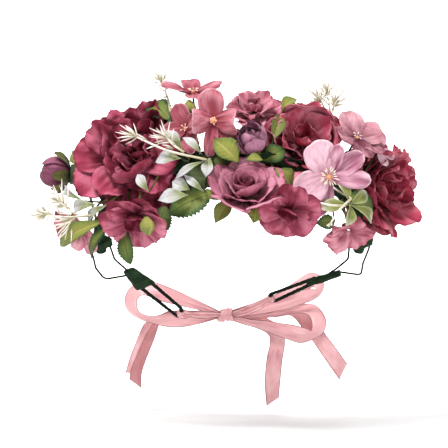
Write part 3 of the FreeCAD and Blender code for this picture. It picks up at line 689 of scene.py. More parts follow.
# The heart of a large flower lies a little off its middle, by so many millimetres.
Peony = namedtuple("Peony", "bloom material slot seed heart outer_rings inner_rings petals")
PEONIES = {
    # A notched petal folds up over the heart from below. Broad ones lie out to both sides.
    "peony_left": Peony(Bloom((-66, -52, 58), -18, 10, 36), BURGUNDY, "petals_burgundy", 11, (9.0, 4.0),
                        PEONY_OUTER_RINGS, PEONY_INNER_RINGS, singles(
        (1.4, 4, 0.03, 0.0, 1.0, 2.2),
        (-64, 17.0, 3.0, 21, 32, 30, -42, 70, 0.62, 0.8, 3, 0.03, 0.16, 0.0, 1.6),
        (-10, 9.0, 5.0, 30, 26, 66, 84, 40, 0.56, 1.0, 3, 0.02, 0.0, 0.6, 1.8),
        (-38, 9.0, 3.0, 31, 26, 70, 82, 40, 0.48, 1.2, 4, 0.02, 0.0, 0.6, 2.0),
        (124, 14.0, -6.0, 22, 20, 70, 34, 40, 0.95, 1.4, 4, 0.04, 0.0, 2.0, 2.0),
        (152, 14.0, -4.0, 25, 24, 62, 30, 60, 0.70),
        (180, 17.0, -6.0, 26, 26, 72, 54, 50, 0.62),
        (212, 15.0, -8.0, 32, 30, 76, 62, 50, 0.66, 1.6, 4, 0.03, 0.0, 1.0, 2.4),
        (236, 12.0, -4.0, 25, 28, 66, 50, 50, 0.74),
        (74, 12.0, -14.0, 30, 20, 72, 50, 40, 0.58, 2.0, 5, 0.04, 0.0, 1.0, 2.0),
        (262, 10.0, -8.0, 33, 28, 80, 70, 50, 0.40, 1.6, 4, 0.03, 0.0, 1.0, 2.2),
        (288, 10.0, -10.0, 32, 26, 80, 72, 50, 0.34, 1.6, 4, 0.03, 0.0, 1.0, 2.2),
    )),
    # Tall wavy folds on the left, and one broad petal that curls over the top.
    "peony_centre": Peony(Bloom((48, -62, 68), 8, 20, 28), MAGENTA, "petals_burgundy", 23, (3.0, 2.0),
                        LOOSE_OUTER_RINGS, LOOSE_INNER_RINGS, singles(
        (2.4, 5, 0.02, 0.0, 1.0, 1.8),
        (196, 12.0, -6.0, 24, 22, 70, 36, 60, 0.74),
        (222, 12.0, -8.0, 28, 22, 78, 50, 60, 0.62),
        (248, 10.0, -8.0, 26, 22, 80, 56, 60, 0.50, 2.2, 5, 0.02, 0.0, 1.0, 1.8),
        (172, 10.0, -4.0, 22, 20, 60, 24, 60, 0.66, 2.0, 4, 0.02, 0.0, 1.0, 1.6),
        (72, 14.0, -6.0, 24, 38, 46, -26, 70, 0.84, 0.8, 3, 0.03, 0.0, 0.0, 1.2),
        (18, 13.0, -7.0, 22, 32, 50, -8, 60, 0.72, 0.8, 3, 0.03, 0.0, 0.0, 1.2),
        (-60, 10.0, -6.0, 20, 24, 66, 36, 60, 0.22, 0.8, 3, 0.02, 0.0, 0.0, 1.4),
    )),
    # Deep ruffles on the outer side and a smooth round petal below the heart.
    "peony_right": Peony(Bloom((109, -20, 35), 52, 0, 32), CORAL, "petals_coral", 37, (-3.0, 4.0),
                        PEONY_OUTER_RINGS, PEONY_INNER_RINGS, singles(
        (2.8, 6, 0.05, 0.0, 1.5, 2.0),
        (-74, 9.0, 0.0, 25, 30, 56, 16, 60, 0.60, 1.0, 3, 0.03, 0.0, 1.0, 1.8),
        (-110, 12.0, -4.0, 26, 26, 66, 44, 50, 0.56, 1.2, 4, 0.03, 0.0, 1.0, 1.8),
        (62, 13.0, -6.0, 21, 24, 56, 34, 50, 0.82, 2.6, 6, 0.05, 0.0, 1.5, 2.0),
        (92, 13.0, -6.0, 21, 24, 58, 30, 50, 0.70, 2.2, 6, 0.05, 0.0, 1.5, 2.0),
        (20, 13.0, -8.0, 22, 22, 64, 40, 40, 0.72),
        (-20, 14.0, -9.0, 22, 22, 68, 46, 40, 0.66),
    )),
}

# The lower loose flowers show their broad petals one by one.
Blossom = namedtuple("Blossom", "bloom material seed rings petals")
BLOSSOMS = {
    "blossom_low_left": Blossom(Bloom((-61, -78, 17), -8, -35, 20), ROSY, 41, (), singles(
        (1.6, 3, 0.03, 0.0, 0.5, 2.2),
        (-96, 1.0, 1.0, 22, 26, 74, 80, -90, 0.62, 1.6, 3, 0.03, 0.0, 0.5, 2.4),
        (-142, 1.0, 0.5, 22, 24, 78, 76, -60, 0.50, 1.8, 3, 0.03, 0.0, 0.5, 2.6),
        (-48, 1.0, 0.5, 21, 24, 76, 64, -60, 0.46, 1.8, 3, 0.03, 0.0, 0.5, 2.4),
        (4, 1.5, 3.0, 26, 20, 62, 44, 80, 0.80, 1.6, 3, 0.03, 0.0, 0.8, 2.0),
        (52, 1.0, 1.0, 24, 24, 66, 50, 60, 0.30),
        (122, 1.0, 1.0, 24, 24, 66, 50, 60, 0.34),
        (174, 1.0, 1.0, 24, 24, 72, 56, 50, 0.50),
        (80, 0.5, 0.5, 14, 18, 40, 6, 90, 0.20, 1.0, 3, 0.03, 0.0, 0.0, 1.2),
        (-80, -2.0, 0.5, 14, 18, 50, 20, 60, 0.20, 1.0, 3, 0.03, 0.0, 0.0, 1.2),
    )),
    "blossom_left_end": Blossom(Bloom((-103, -38, 9), -45, -30, 15), FADED, 42, (), singles(
        (1.2, 3, 0.02, 0.0, 0.5, 1.6),
        (-80, 1.0, 0.0, 20, 18, 80, 86, -70, 0.80),
        (-130, 1.0, 0.0, 18, 18, 80, 80, 40, 0.62),
        (-30, 1.0, 0.0, 17, 18, 76, 70, 50, 0.64),
        (35, 1.0, 0.5, 18, 18, 72, 56, 50, 0.40),
        (110, 1.0, 0.5, 18, 18, 72, 56, 50, 0.36),
        (175, 1.0, 0.5, 18, 18, 74, 64, 50, 0.50),
    )),
    "blossom_low_centre": Blossom(Bloom((37, -90, 20), 5, -30, 16), ROSY, 43, (), singles(
        (1.2, 3, 0.02, 0.0, 0.5, 1.6),
        (-92, 1.0, 0.0, 17, 22, 78, 74, -60, 0.54),
        (-30, 1.0, 0.5, 20, 22, 76, 60, 60, 0.62),
        (30, 1.0, 0.5, 24, 22, 72, 54, 60, 0.44),
        (88, 1.0, 0.5, 26, 24, 72, 58, 60, 0.32),
        (150, 1.0, 0.5, 22, 22, 74, 56, 60, 0.52),
        (210, 1.0, 0.0, 18, 22, 78, 70, 50, 0.50),
        (60, 0.5, 0.0, 13, 16, 40, 6, 90, 0.22, 1.0, 3, 0.02, 0.0, 0.0, 1.2),
        (-110, -2.0, 0.0, 12, 15, 50, 16, 60, 0.22, 1.0, 3, 0.02, 0.0, 0.0, 1.2),
    )),
    "blossom_low_right": Blossom(Bloom((79, -62, 8), 15, -50, 15), FADED, 44, (), singles(
        (1.4, 4, 0.04, 0.0, 0.5, 1.8),
        (-100, 1.0, 0.0, 21, 18, 76, 84, -70, 0.66),
        (-50, 1.0, 0.0, 18, 18, 78, 76, 50, 0.54),
        (-150, 1.0, 0.0, 18, 18, 78, 76, 50, 0.52),
        (10, 1.0, 0.5, 17, 16, 72, 60, 50, 0.40),
        (90, 1.0, 0.5, 17, 16, 72, 60, 50, 0.34),
        (160, 1.0, 0.5, 17, 16, 72, 60, 50, 0.44),
    )),
    "blossom_top": Blossom(Bloom((16, -60, 88), 0, 45, 20), FADED, 45, BLOSSOM_RINGS, ()),
}

# The middle of a small flower: its disc's radius and height, and its filaments.
Centre = namedtuple("Centre", "disc height filaments reach")
Floret = namedtuple("Floret", "bloom material slot centre petals")
FLORET_SEED = 61
FLORETS = {
    "hydrangea_front": Floret(Bloom((64, -88, 42), 5, 0, 24), PALE, "petals_pale_mauve",
                     Centre(1.7, 2.2, 17, 6.4), singles(
        (0.3, 3, 0.0, 0.0, 0.3, 0.8),
        (72, 1.0, -2.0, 22, 11, 78, 62, 70, 0.22, 0.5, 3, 0.0, 0.0, 0.5, 1.2),
        (33, 1.0, -2.5, 27, 14, 80, 78, 50, 0.18, 0.6, 3, 0.0, 0.0, 0.3, 1.2),
        (-5, 1.0, -1.5, 27, 12.5, 80, 74, -40, 0.28, 0.5, 3, 0.0, 0.0, 0.5, 1.0),
        (-112, 1.0, -2.5, 26, 18, 86, 92, 30, 0.20, 0.6, 3, 0.0, 0.0, 0.5, 1.4),
        (112, 1.0, 0.0, 24, 22, 84, 76, 18, 0.78),
        (209, 1.0, 0.3, 25, 22, 84, 78, 18, 0.74),
    )),
    "hydrangea_upper_right": Floret(Bloom((85, -50, 69), 25, 40, 17), DUSTY_FLORET, "petals_pale_mauve",
                     Centre(1.3, 2.0, 6, 3.6), singles(
        (0.6, 3, 0.0, 0.0, 0.5, 1.2),
        (96, 1.0, 0.0, 20, 20, 80, 62, 40, 0.56),
        (10, 1.0, 0.0, 19, 20, 80, 66, 40, 0.50),
        (184, 1.0, 0.0, 18, 17, 78, 58, 50, 0.42),
        (-88, 1.0, 0.5, 19, 16, 84, 84, 50, 0.06),
        (-40, 1.0, 0.0, 20, 15, 84, 84, 50, 0.20),
    )),
    "hydrangea_far_right": Floret(Bloom((102, -30, 62), 45, 30, 12), PALE, "petals_mauve",
                     Centre(1.0, 1.6, 5, 3.0), singles(
        (0.3, 3, 0.0, 0.0, 0.3, 0.5),
        (60, 0.8, 0.0, 14, 8, 70, 70, 60, 0.30),
        (-30, 0.8, 0.0, 12, 9, 80, 80, 40, 0.45),
        (-100, 0.8, 0.3, 13, 9, 86, 84, 40, 0.95),
        (170, 0.8, 0.0, 12, 9, 80, 76, 40, 0.40),
    )),
    "hydrangea_left": Floret(Bloom((-11, -84, 79), -5, 0, 17), HYDRANGEA, "petals_dusty_rose",
                     Centre(2.4, 4.2, 5, 3.0), singles(
        (0.6, 3, 0.0, 0.0, 0.4, 1.2),
        (97, 0.8, 0.0, 21, 18, 78, 66, 46, 0.50, 0.6, 3, 0.0, 0.0, 0.4, 1.4),
        (-4, 0.8, 0.5, 20, 19, 60, 34, -90, 0.58),
        (184, 0.8, 0.5, 17, 19, 52, 34, -100, 0.62),
        (-97, 0.8, -0.5, 23, 10, 84, 100, 60, 0.30),
        (-46, 0.8, -1.5, 22, 15, 84, 86, 60, 0.14, 0.8, 3, 0.0, 0.0, 0.4, 1.2),
    )),
    "hydrangea_top": Floret(Bloom((-25, -58, 99), 0, 70, 17), HYDRANGEA, "petals_dusty_rose",
                     Centre(1.4, 2.0, 8, 4.4), singles(
        (0.8, 3, 0.0, 0.0, 0.6, 1.4),
        (8, 0.8, 0.0, 20, 14, 76, 58, 60, 0.36),
        (-80, 0.8, 0.0, 17, 14, 84, 92, 50, 0.40),
        (190, 0.8, 0.0, 22, 15, 78, 60, 60, 0.40),
        (100, 0.8, 0.0, 17, 14, 76, 60, 60, 0.34),
    )),
    "hydrangea_mid_left": Floret(Bloom((-29, -77, 74), -30, 10, 14), HYDRANGEA, "petals_dusty_rose",
                     Centre(1.6, 2.6, 5, 3.0), singles(
        (0.6, 3, 0.0, 0.0, 0.4, 1.2),
        (15, 0.8, 0.5, 15, 14, 62, 44, 80, 0.44),
        (110, 0.8, 0.0, 17, 15, 78, 62, 60, 0.28),
        (200, 0.8, 0.0, 16, 14, 70, 56, 70, 0.34),
        (-65, 0.8, 0.0, 17, 13, 84, 88, 60, 0.30),
    )),
}


def rings_piece(name, bloom, rings, material, slot, seed, placed=(), shifts=(0.0, 0.0), heart=(0.0, 0.0)):
    """One piece made of rings of petals, and any petals that stand where they are put. The
    rings move from the middle towards the heart of the flower, from the first shift to the last."""
    cloth = Cloth()
    draw = random.Random(seed)
    matrix = bloom_matrix(bloom)
    for index, ring in enumerate(rings):
        part = shifts[0] + (shifts[1] - shifts[0]) * index / max(1, len(rings) - 1)
        moved = matrix @ Matrix.Translation((heart[0] * part, heart[1] * part, 0))
        ring_of_petals(cloth, moved, bloom.size, ring, draw)
    for index, single in enumerate(placed):
        petal(cloth, matrix, *single, seed * 0.37 + index * 3.1)
    return cloth.piece(name, material, slot, CLOTH_THICKNESS)


def make_peonies():
    """The three large flowers, each in an outer and an inner piece."""
    for name, (bloom, material, slot, seed, heart, outer_rings, inner_rings, petals) in PEONIES.items():
        outer = rings_piece(name + "_outer_cloth", bloom, outer_rings, material, slot, seed,
                            petals, (0.0, 0.45), heart)
        inner = rings_piece(name + "_inner_cloth", bloom, inner_rings, material, slot, seed + 1,
                            shifts=(0.6, 1.0), heart=heart)
        fasten(outer, "crown", name + "_outer_petals")
        fasten(inner, "crown", name + "_inner_petals")


def shaded_hollow_plug(name, bloom, height, radius):
    """Painted shade: a near-black plug that stands for the shaded hollow at the middle of a rose."""
    cloth = Cloth()
    matrix = bloom_matrix(bloom)
    low = matrix @ Vector((0, 0, height - 2.5))
    high = matrix @ Vector((0, 0, height))
    round_bar(cloth, [low, (low + high) / 2, high], (radius * 0.7, radius, radius * 0.4), sides=12)
    return cloth.piece(name, HEART_SHADE, "stamens")


def make_rose_and_buds():
    """The rose in front, the half-open flower above it and the bud at the left end."""
    outer = rings_piece("rose_outer_cloth", ROSE, ROSE_OUTER_RINGS, DUSTY, "petals_dusty_rose", 5)
    inner = rings_piece("rose_inner_cloth", ROSE, ROSE_INNER_RINGS, DUSTY, "petals_dusty_rose", 6)
    fasten(outer, "crown", "rose_outer_petals")
    fasten(inner, "crown", "rose_inner_petals")
    fasten(shaded_hollow_plug("rose_heart", ROSE, 1.5, 2.4), "crown")
    ball = rings_piece("ranunculus_cloth", RANUNCULUS, BUD_RINGS, LILAC, "petals_mauve", 8)
    fasten(ball, "crown", "ranunculus_petals")
    fasten(shaded_hollow_plug("ranunculus_heart", RANUNCULUS, 5.0, 4.0), "crown")
    bud = rings_piece("rose_bud_cloth", ROSE_BUD, CLOSED_BUD_RINGS, PLUM, "petals_mauve", 9)
    fasten(bud, "rose_bud", "rose_bud_petals")


def make_blossoms():
    """The loose wavy flowers between the large ones."""
    for name, (bloom, material, seed, own_rings, petals) in BLOSSOMS.items():
        piece = rings_piece(name + "_cloth", bloom, own_rings, material, "petals_dusty_rose", seed, petals)
        fasten(piece, "crown", name)


def make_florets():
    """The four-petalled flowers, and the discs and filaments in their middles."""
    discs = Cloth()
    filaments = Cloth()
    draw = random.Random(77)
    for seed, (name, (bloom, material, slot, centre, petals)) in enumerate(FLORETS.items()):
        piece = rings_piece(name + "_cloth", bloom, (), material, slot, FLORET_SEED + seed, petals)
        fasten(piece, "crown", name)
        matrix = bloom_matrix(bloom)
        base = matrix @ Vector((0, 0, -1.5))
        top = matrix @ Vector((0, 0, centre.height))
        middle = matrix @ Vector((0, 0, centre.height * 0.5))
        radii = (centre.disc * 0.7, centre.disc, centre.disc * 0.3)
        round_bar(discs, smooth_line([base, middle, top], 3), radii, sides=12)
        for index in range(centre.filaments):
            turn = 2 * math.pi * index / centre.filaments + draw.uniform(-0.12, 0.12)
            out = spoke(turn)
            far = centre.reach * draw.uniform(0.72, 1.1)
            points = [Vector((0, 0, 1.0)) + out * 0.8, Vector((0, 0, 2.6)) + out * far * 0.55,
                      Vector((0, 0, 2.2 + draw.uniform(0, 1.4))) + out * far]
            line = smooth_line([matrix @ point for point in points], 4)
            round_bar(filaments, line, (0.22, 0.17, 0.17, 0.40, 0.25), sides=6)
    fasten(discs.piece("stamen_discs", PEACH, "stamens"), "crown", "hydrangea_stamens")
    fasten(filaments.piece("stamen_filaments", CREAM, "stamens"), "crown")


# ---------------------------------------------------------------- sepals, stems and leaves

def sepals_piece(flower, bloom, depth, neck, count, length, body="crown"):
    """The cup behind a flower: a swollen end of its stem, its sepals, and the taped stem. The
    cup's depth, the neck and the sepals' length are parts of the flower's radius."""
    depth, neck, length = (share * bloom.size for share in (depth, neck, length))
    name = flower + "_sepals"
    cloth = Cloth()
    matrix = bloom_matrix(bloom)
    back = matrix @ Vector((0, 0, -depth))
    below = matrix @ Vector((0, 0, -depth - neck * 1.2))
    root = bundle_point(bloom.spot)
    cup = smooth_line([back, (back + below) / 2, below], 4)
    round_bar(cloth, cup, (neck * 0.8, neck * 0.9, 1.1), 0.5, 12)
    stalk = smooth_line([below, (below + root) / 2 + Vector((0, 0, -1)), root], 6)
    round_bar(cloth, stalk, (1.1, 0.9), 0.4, ridge=0.15, ridge_step=3.0)
    draw = random.Random(name)
    for index in range(count):
        turn = math.radians(360.0 * index / count + draw.uniform(-12, 12))
        out = spoke(turn)
        base = matrix @ (Vector((0, 0, -depth)) + out * neck * 0.5)
        tip = matrix @ (Vector((0, 0, -depth + length * 0.72)) + out * (neck * 0.5 + length * 0.7))
        face = (matrix.to_3x3() @ (out - Vector((0, 0, 0.8)))).normalized()
        leaf_blade(cloth, base, tip, length * 0.5, 0.5, draw.uniform(0, 9), arch=0.12, face=face)
    fasten(cloth.piece(name, CALYX, "calyx_green"), body, flower + "_calyx")


def make_sepals():
    """Every calyx, and the stems of the small flowers."""
    for name, peony in PEONIES.items():
        sepals_piece(name, peony.bloom, 0.76, 0.26, 6, 0.62)
    sepals_piece("rose", ROSE, 0.5, 0.2, 5, 0.45)
    sepals_piece("ranunculus", RANUNCULUS, 0.85, 0.44, 6, 0.96)
    sepals_piece("rose_bud", ROSE_BUD, 0.9, 0.75, 7, 17 / 12, "rose_bud")
    stems = Cloth()
    for flower in [*FLORETS.values(), *BLOSSOMS.values()]:
        stem(stems, flower.bloom.spot, 0.9, 1.0)
    for spray in BENDING_SPRAYS.values():
        stem(stems, spray.base, 0.8, 0.5)
    fasten(stems.piece("flower_stems", CALYX, "calyx_green"), "crown", "small_stems")


# Leaves: where each starts, where its tip is and its width.
SERRATED_LEAVES = (
    ((-41, -56, 81), (-54, -40, 94), 17),
    ((-12, -90, 31), (-40, -88, 18), 21),
    ((-69, -72, 7), (-66, -80, -15), 13),
    ((-84, -62, 8), (-94, -54, -12), 12),
    ((-43, -78, 23), (-47, -82, 3), 18),
    ((-9, -84, 38), (-31, -80, 45), 20),
    ((69, -72, 13), (57, -80, 12), 10),
    ((7, -76, 57), (-5, -80, 75), 14),
    ((21, -76, 53), (36, -72, 61), 14),
    ((77, -60, 30), (98, -40, 19), 16),
    ((-25, -66, 62), (-41, -62, 82), 17),
    ((0, -80, 45), (-20, -80, 54), 17),
    ((-17, -80, 38), (-38, -74, 30), 16),
)
YOUNG_LEAVES = (
    ((5, -88, 51), (-11, -86, 67), 16),
    ((29, -88, 47), (40, -86, 35), 13),
    ((17, -90, 26), (15, -94, 12), 15),
    ((1, -90, 27), (-10, -92, 12), 11),
    ((33, -62, 86), (45, -50, 96), 9),
    ((-84, -74, 13), (-117, -42, -4), 13),
    ((-103, -26, 51), (-110, -8, 63), 6),
    ((28, -72, 66), (33, -60, 86), 10),
    ((21, -92, 53), (10, -94, 53), 7),
    ((-8, -94, 27), (-16, -98, 34), 6),
)
FROSTED_LEAVES = (
    ((-32, -92, 54), (-49, -88, 52), 11),
    ((-31, -88, 59), (-43, -82, 73), 8),
    ((-19, -92, 57), (-31, -88, 68), 6),
    ((-13, -95, 54), (-16, -98, 42), 8),
    ((-27, -98, 30), (-47, -96, 27), 10),
    ((-26, -94, 33), (-38, -90, 39), 10),
    ((-88, -68, 24), (-107, -44, 22), 9),
    ((-82, -72, 24), (-96, -54, 11), 8),
    ((-99, -48, 27), (-115, -20, 38), 6),
    ((-53, -92, 32), (-61, -86, 44), 7),
    ((-17, -98, 52), (-36, -94, 41), 5),
    ((-17, -98, 32), (-30, -94, 43), 5),
)
ROSETTE_CENTRE = (78, -84, 24)
ROSETTE_TIPS = ((69, -84, 41), (90, -76, 33), (95, -64, 12), (57, -88, 22), (76, -88, 10))
ROSETTE_LEAF_WIDTH = 9.0

# A spray of needles: where its stem starts and each star of needles ends.
Spray = namedtuple("Spray", "base heads")

BENDING_SPRAYS = {
    "spray_top_left": Spray((-40, -64, 86), ((-47, -45, 109),)),
    "spray_top_right": Spray((69, -32, 77), ((67, -16, 103), (73, -22, 96), (61, -22, 98))),
}
FIXED_SPRAYS = (
    Spray((-92, -66, 17), ((-126, -46, 18), (-114, -54, 26), (-108, -60, 12))),
    Spray((-16, -100, 53), ((-63, -86, 69), (-42, -92, 68))),
    Spray((79, -88, 28), ((65, -96, 12), (54, -98, 26))),
)
GREEN_BUDS = (((-27, -70, 88), 5.0), ((-54, -94, 10), 5.5))


def leaves_piece(name, leaves, material, slot, node, seed, tones, **shape):
    """Leaves of one kind, each with its stalk down to the bundle."""
    cloth = Cloth()
    draw = random.Random(seed)
    for index, (base, tip, width) in enumerate(leaves):
        tone = tones[index % len(tones)]
        leaf_blade(cloth, Vector(base), Vector(tip), width, tone, draw.uniform(0, 40),
                   twist=draw.uniform(-0.35, 0.35), **shape)
    piece = cloth.piece(name, material, slot, LEAF_THICKNESS)
    fasten(piece, "crown", node)
    stalks = Cloth()
    for base, _, _ in leaves:
        stem(stalks, base, STALK_RADIUS, 0.6)
    fasten(stalks.piece(name + "_stalks", CALYX, "calyx_green"), "crown")


def make_leaves():
    """The toothed, the young, the frosted and the rosette leaves, and the green buds."""
    # Each kind's tones go to its leaves in turn; the low ones are painted shade on leaves that lie in
    # shade.
    leaves_piece("toothed_leaves", SERRATED_LEAVES, DARK_LEAF, "leaf_dark", "serrated_leaves", 3,
                 (0.5, 0.62, 0.35, 0.45, 0.2, 0.1, 0.5), teeth=0.24, fold=0.20, arch=0.10, blunt=0.72)
    leaves_piece("green_leaves", YOUNG_LEAVES, LIME_LEAF, "leaf_lime", "young_leaves", 4,
                 (0.5, 0.42, 0.6, 0.3, 0.6, 0.5, 0.3, 0.25), teeth=0.10, fold=0.5, arch=0.12, blunt=1.0)
    leaves_piece("white_tipped_leaves", FROSTED_LEAVES, FROSTED_LEAF, "leaf_frosted", "frosted_leaves", 5,
                 (0.6, 0.5, 0.5, 0.6), fold=0.30, arch=0.14, blunt=1.05, widest=0.58)
    rosette = Cloth()
    centre = Vector(ROSETTE_CENTRE)
    for index, spot in enumerate(ROSETTE_TIPS):
        leaf_blade(rosette, centre, Vector(spot), ROSETTE_LEAF_WIDTH, 0.5, index * 2.3,
                   fold=0.30, arch=0.16, blunt=1.0, widest=0.6)
    piece = rosette.piece("rosette_leaves", ROSETTE_LEAF, "leaf_frosted", LEAF_THICKNESS)
    fasten(piece, "crown", "sepal_rosette")
    buds = Cloth()
    for spot, radius in GREEN_BUDS:
        middle = Vector(spot)
        down = Vector((0.1, -0.15, -1)).normalized()
        line = smooth_line([middle - down * radius * 1.1, middle, middle + down * radius * 1.1], 5)
        radii = [radius * share for share in (0.25, 0.85, 0.9, 0.15)]
        round_bar(buds, line, radii, 0.5, 14, ridge=0.2, ridge_step=50.0)
    fasten(buds.piece("small_green_buds", LIME_LEAF, "leaf_lime"), "crown", "green_buds")


# A spray with no more needles than this has a bare stem.
BARE_NEEDLES = 3
SPRAY_SEED = 90


def needle(cloth, start, direction, length, width, tone, draw):
    """A thin pointed blade that curves a little."""
    side = direction.cross(Vector((draw.uniform(-1, 1), draw.uniform(-1, 1), 1))).normalized()
    tip = start + direction * length + side * length * draw.uniform(-0.18, 0.18)
    middle = start + direction * length * 0.5 + side * width * draw.uniform(-0.6, 0.6)
    radii = (width * 0.35, width * 0.55, width * 0.45, 0.12)
    round_bar(cloth, smooth_line([start, middle, tip], 4), radii, tone, 6)


def star(cloth, centre, direction, count, length, width, draw):
    """A star of needles that opens forward from the end of a stem."""
    for index in range(count):
        spin = Matrix.Rotation(2.4 * index, 3, direction)
        side = spin @ direction.orthogonal().normalized()
        lean = 0.25 + 1.2 * (index / count)
        ahead = (direction + side * lean).normalized()
        needle(cloth, centre - direction * index * 0.25, ahead, length * draw.uniform(0.75, 1.15), width,
               0.5 + draw.uniform(0, 0.3), draw)


def spray_patches(cloth, spray, draw, needles=16, reach=15.0):
    """The branched stem of a spray, its stars, and small needles along it."""
    base = Vector(spray.base)
    first = Vector(spray.heads[0])
    for index, head in enumerate(spray.heads):
        end = Vector(head)
        start = base if index == 0 else base + (first - base) * 0.3
        run = end - start
        bow = run.orthogonal().normalized() * run.length * 0.06
        line = smooth_line([start, start + run * 0.5 + bow, end], 6)
        round_bar(cloth, line, (0.85, 0.75, 0.55), 0.5, 7)
        direction = run.normalized()
        star(cloth, end, direction, needles, reach, 1.0, draw)
        for part in (0.45, 0.65, 0.82) if needles > BARE_NEEDLES else ():
            for turn in (0, 1):
                spin = Matrix.Rotation(part * 9 + turn * math.pi, 3, direction)
                side = spin @ direction.orthogonal().normalized()
                needle(cloth, start + run * part, (direction + side).normalized(), 9.0, 1.1, 0.6, draw)


def make_sprays():
    """The ivory sprays: two that bend on their own and the fixed ones."""
    for seed, (name, spray) in enumerate(BENDING_SPRAYS.items()):
        cloth = Cloth()
        spray_patches(cloth, spray, random.Random(SPRAY_SEED + seed))
        fasten(cloth.piece(name + "_needles", IVORY, "spray_ivory"), name, name)
    cloth = Cloth()
    draw = random.Random(95)
    for spray, needles, reach in zip(FIXED_SPRAYS, (18, 12, BARE_NEEDLES), (17.0, 12.5, 4.0)):
        spray_patches(cloth, spray, draw, needles, reach)
        stem(cloth, spray.base, STALK_RADIUS, 0.5)
    fasten(cloth.piece("fixed_spray_needles", IVORY, "spray_ivory"), "crown", "sprays_fixed")


# ---------------------------------------------------------------- the band and its ends

def rounded(points, bend):
    """A line of straight runs with its corners rounded."""
    line = [points[0]]
    for before, corner, after in zip(points, points[1:], points[2:]):
        back = (before - corner).normalized()
        ahead = (after - corner).normalized()
        half = back.angle(ahead) / 2
        room = min((before - corner).length, (after - corner).length)
        setback = min(bend / math.tan(half), room * 0.48)
        start = corner + back * setback
        end = corner + ahead * setback
        for step in range(7):
            t = step / 6
            line.append(start * (1 - t) ** 2 + corner * 2 * t * (1 - t) + end * t * t)
    line.append(points[-1])
    return line


def fine(line, step):
    """The same line with points no further apart than the step."""
    result = [line[0]]
    for start, end in zip(line, line[1:]):
        count = max(1, math.ceil((end - start).length / step))
        for index in range(1, count + 1):
            result.append(start + (end - start) * index / count)
    return result


WRAP_ANGLES = (-94, -57, -30, 10.5, 37, 88)
WRAP_SPAN = 5.0
TIE_ROWS = 10
TIE_SIDES = 28
TIE_HALF_THICKNESS = 4.9
BUNDLE_STEPS = 150


def make_band():
    """The rails keep their CAD shape. The stems and the ties between them are wound with tape."""
    for name in ("frame_wire_inner", "frame_wire_outer"):
        coat(name, WIRE)
    bundle = Cloth()
    turns = [BAND_END_ANGLE * (-1 + 2 * step / BUNDLE_STEPS) for step in range(BUNDLE_STEPS + 1)]
    line = [band_point(turn, BAND_RADIUS, 0) for turn in turns]
    round_bar(bundle, line, (BUNDLE_RADIUS, BUNDLE_RADIUS), 0.5, 18, ridge=0.45, ridge_step=6.5)
    fasten(bundle.piece("taped_stems", CREPE, "floral_tape"), "crown", "stem_bundle")
    wraps = Cloth()
    normal = plane_point(0, 0, 1)
    half = RAIL_SPACING / 2 + RAIL_DIAMETER / 2 + 1.2

    def place(row, column):
        part = row / TIE_ROWS
        turn = angle + WRAP_SPAN * part
        middle = band_point(turn, BAND_RADIUS, 0)
        out = (band_point(turn, BAND_RADIUS + 1, 0) - middle).normalized()
        spin = 2 * math.pi * column / TIE_SIDES
        wide = math.copysign(abs(math.cos(spin)) ** 0.7, math.cos(spin)) * half
        thick = math.sin(spin) * TIE_HALF_THICKNESS * (0.35 + 0.65 * math.exp(-(wide / 5) ** 2))
        wind = (part * 2.5 + column / TIE_SIDES) % 1
        bump = 0.35 * (wind - 0.5) + 0.5 * noise.noise((row * 0.5, math.cos(spin) * 2, angle))
        point = middle + out * (wide + bump * math.cos(spin)) + normal * (thick + bump * math.sin(spin))
        return point, (column / TIE_SIDES, part, 0.5, wind)

    for angle in WRAP_ANGLES:
        wraps.patch(grid(TIE_ROWS + 1, TIE_SIDES, place), closed=True, capped=True)
    fasten(wraps.piece("tape_ties", CREPE, "floral_tape"), "crown", "binding_wraps")


def coat(node, material):
    """Give a CAD node that keeps its shape its material."""
    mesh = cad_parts[node].data
    mesh.materials.clear()
    mesh.materials.append(material)


def rail_end(side, radius):
    """Where a rail ends."""
    turn = math.radians(BAND_END_ANGLE - 0.6)
    return (side * radius * math.sin(turn), -radius * math.cos(turn))


def tape_pad(cloth, starts, ends, lift, tone):
    """A crumpled wad of tape between two edges of its start and two of its end."""
    normal = plane_point(0, 0, 1)

    def place(row, column):
        part = row / PAD_ROWS
        left = starts[0].lerp(ends[0], part)
        right = starts[1].lerp(ends[1], part)
        taper = math.sin(math.pi * (0.12 + 0.76 * part)) ** 0.35
        spin = 2 * math.pi * column / PAD_SIDES
        wind = (part * 3.5 + math.cos(spin) * 0.5) % 1
        bump = 0.5 * (wind - 0.5)
        bump += 1.1 * noise.noise((part * 4 + 4.0, math.cos(spin) * 2.5, math.sin(spin)))
        wide = (right - left) / 2 * math.cos(spin) * (1.02 + 0.05 * bump)
        thick = normal * math.sin(spin) * (TAPE_THICKNESS / 2 * taper + bump * 0.5)
        return (left + right) / 2 + normal * lift + wide + thick, (column / PAD_SIDES, part, tone, wind)

    cloth.patch(grid(PAD_ROWS + 1, PAD_SIDES, place), closed=True, capped=True)


# A wire end in the band's plane: its two wires, how far each curves at its corners, the ends of
# its eyelet, the corners of its tape and how far the tape lies off the plane.
Arm = namedtuple("Arm", "wires bends eyelet tape tape_lift tape_tone")

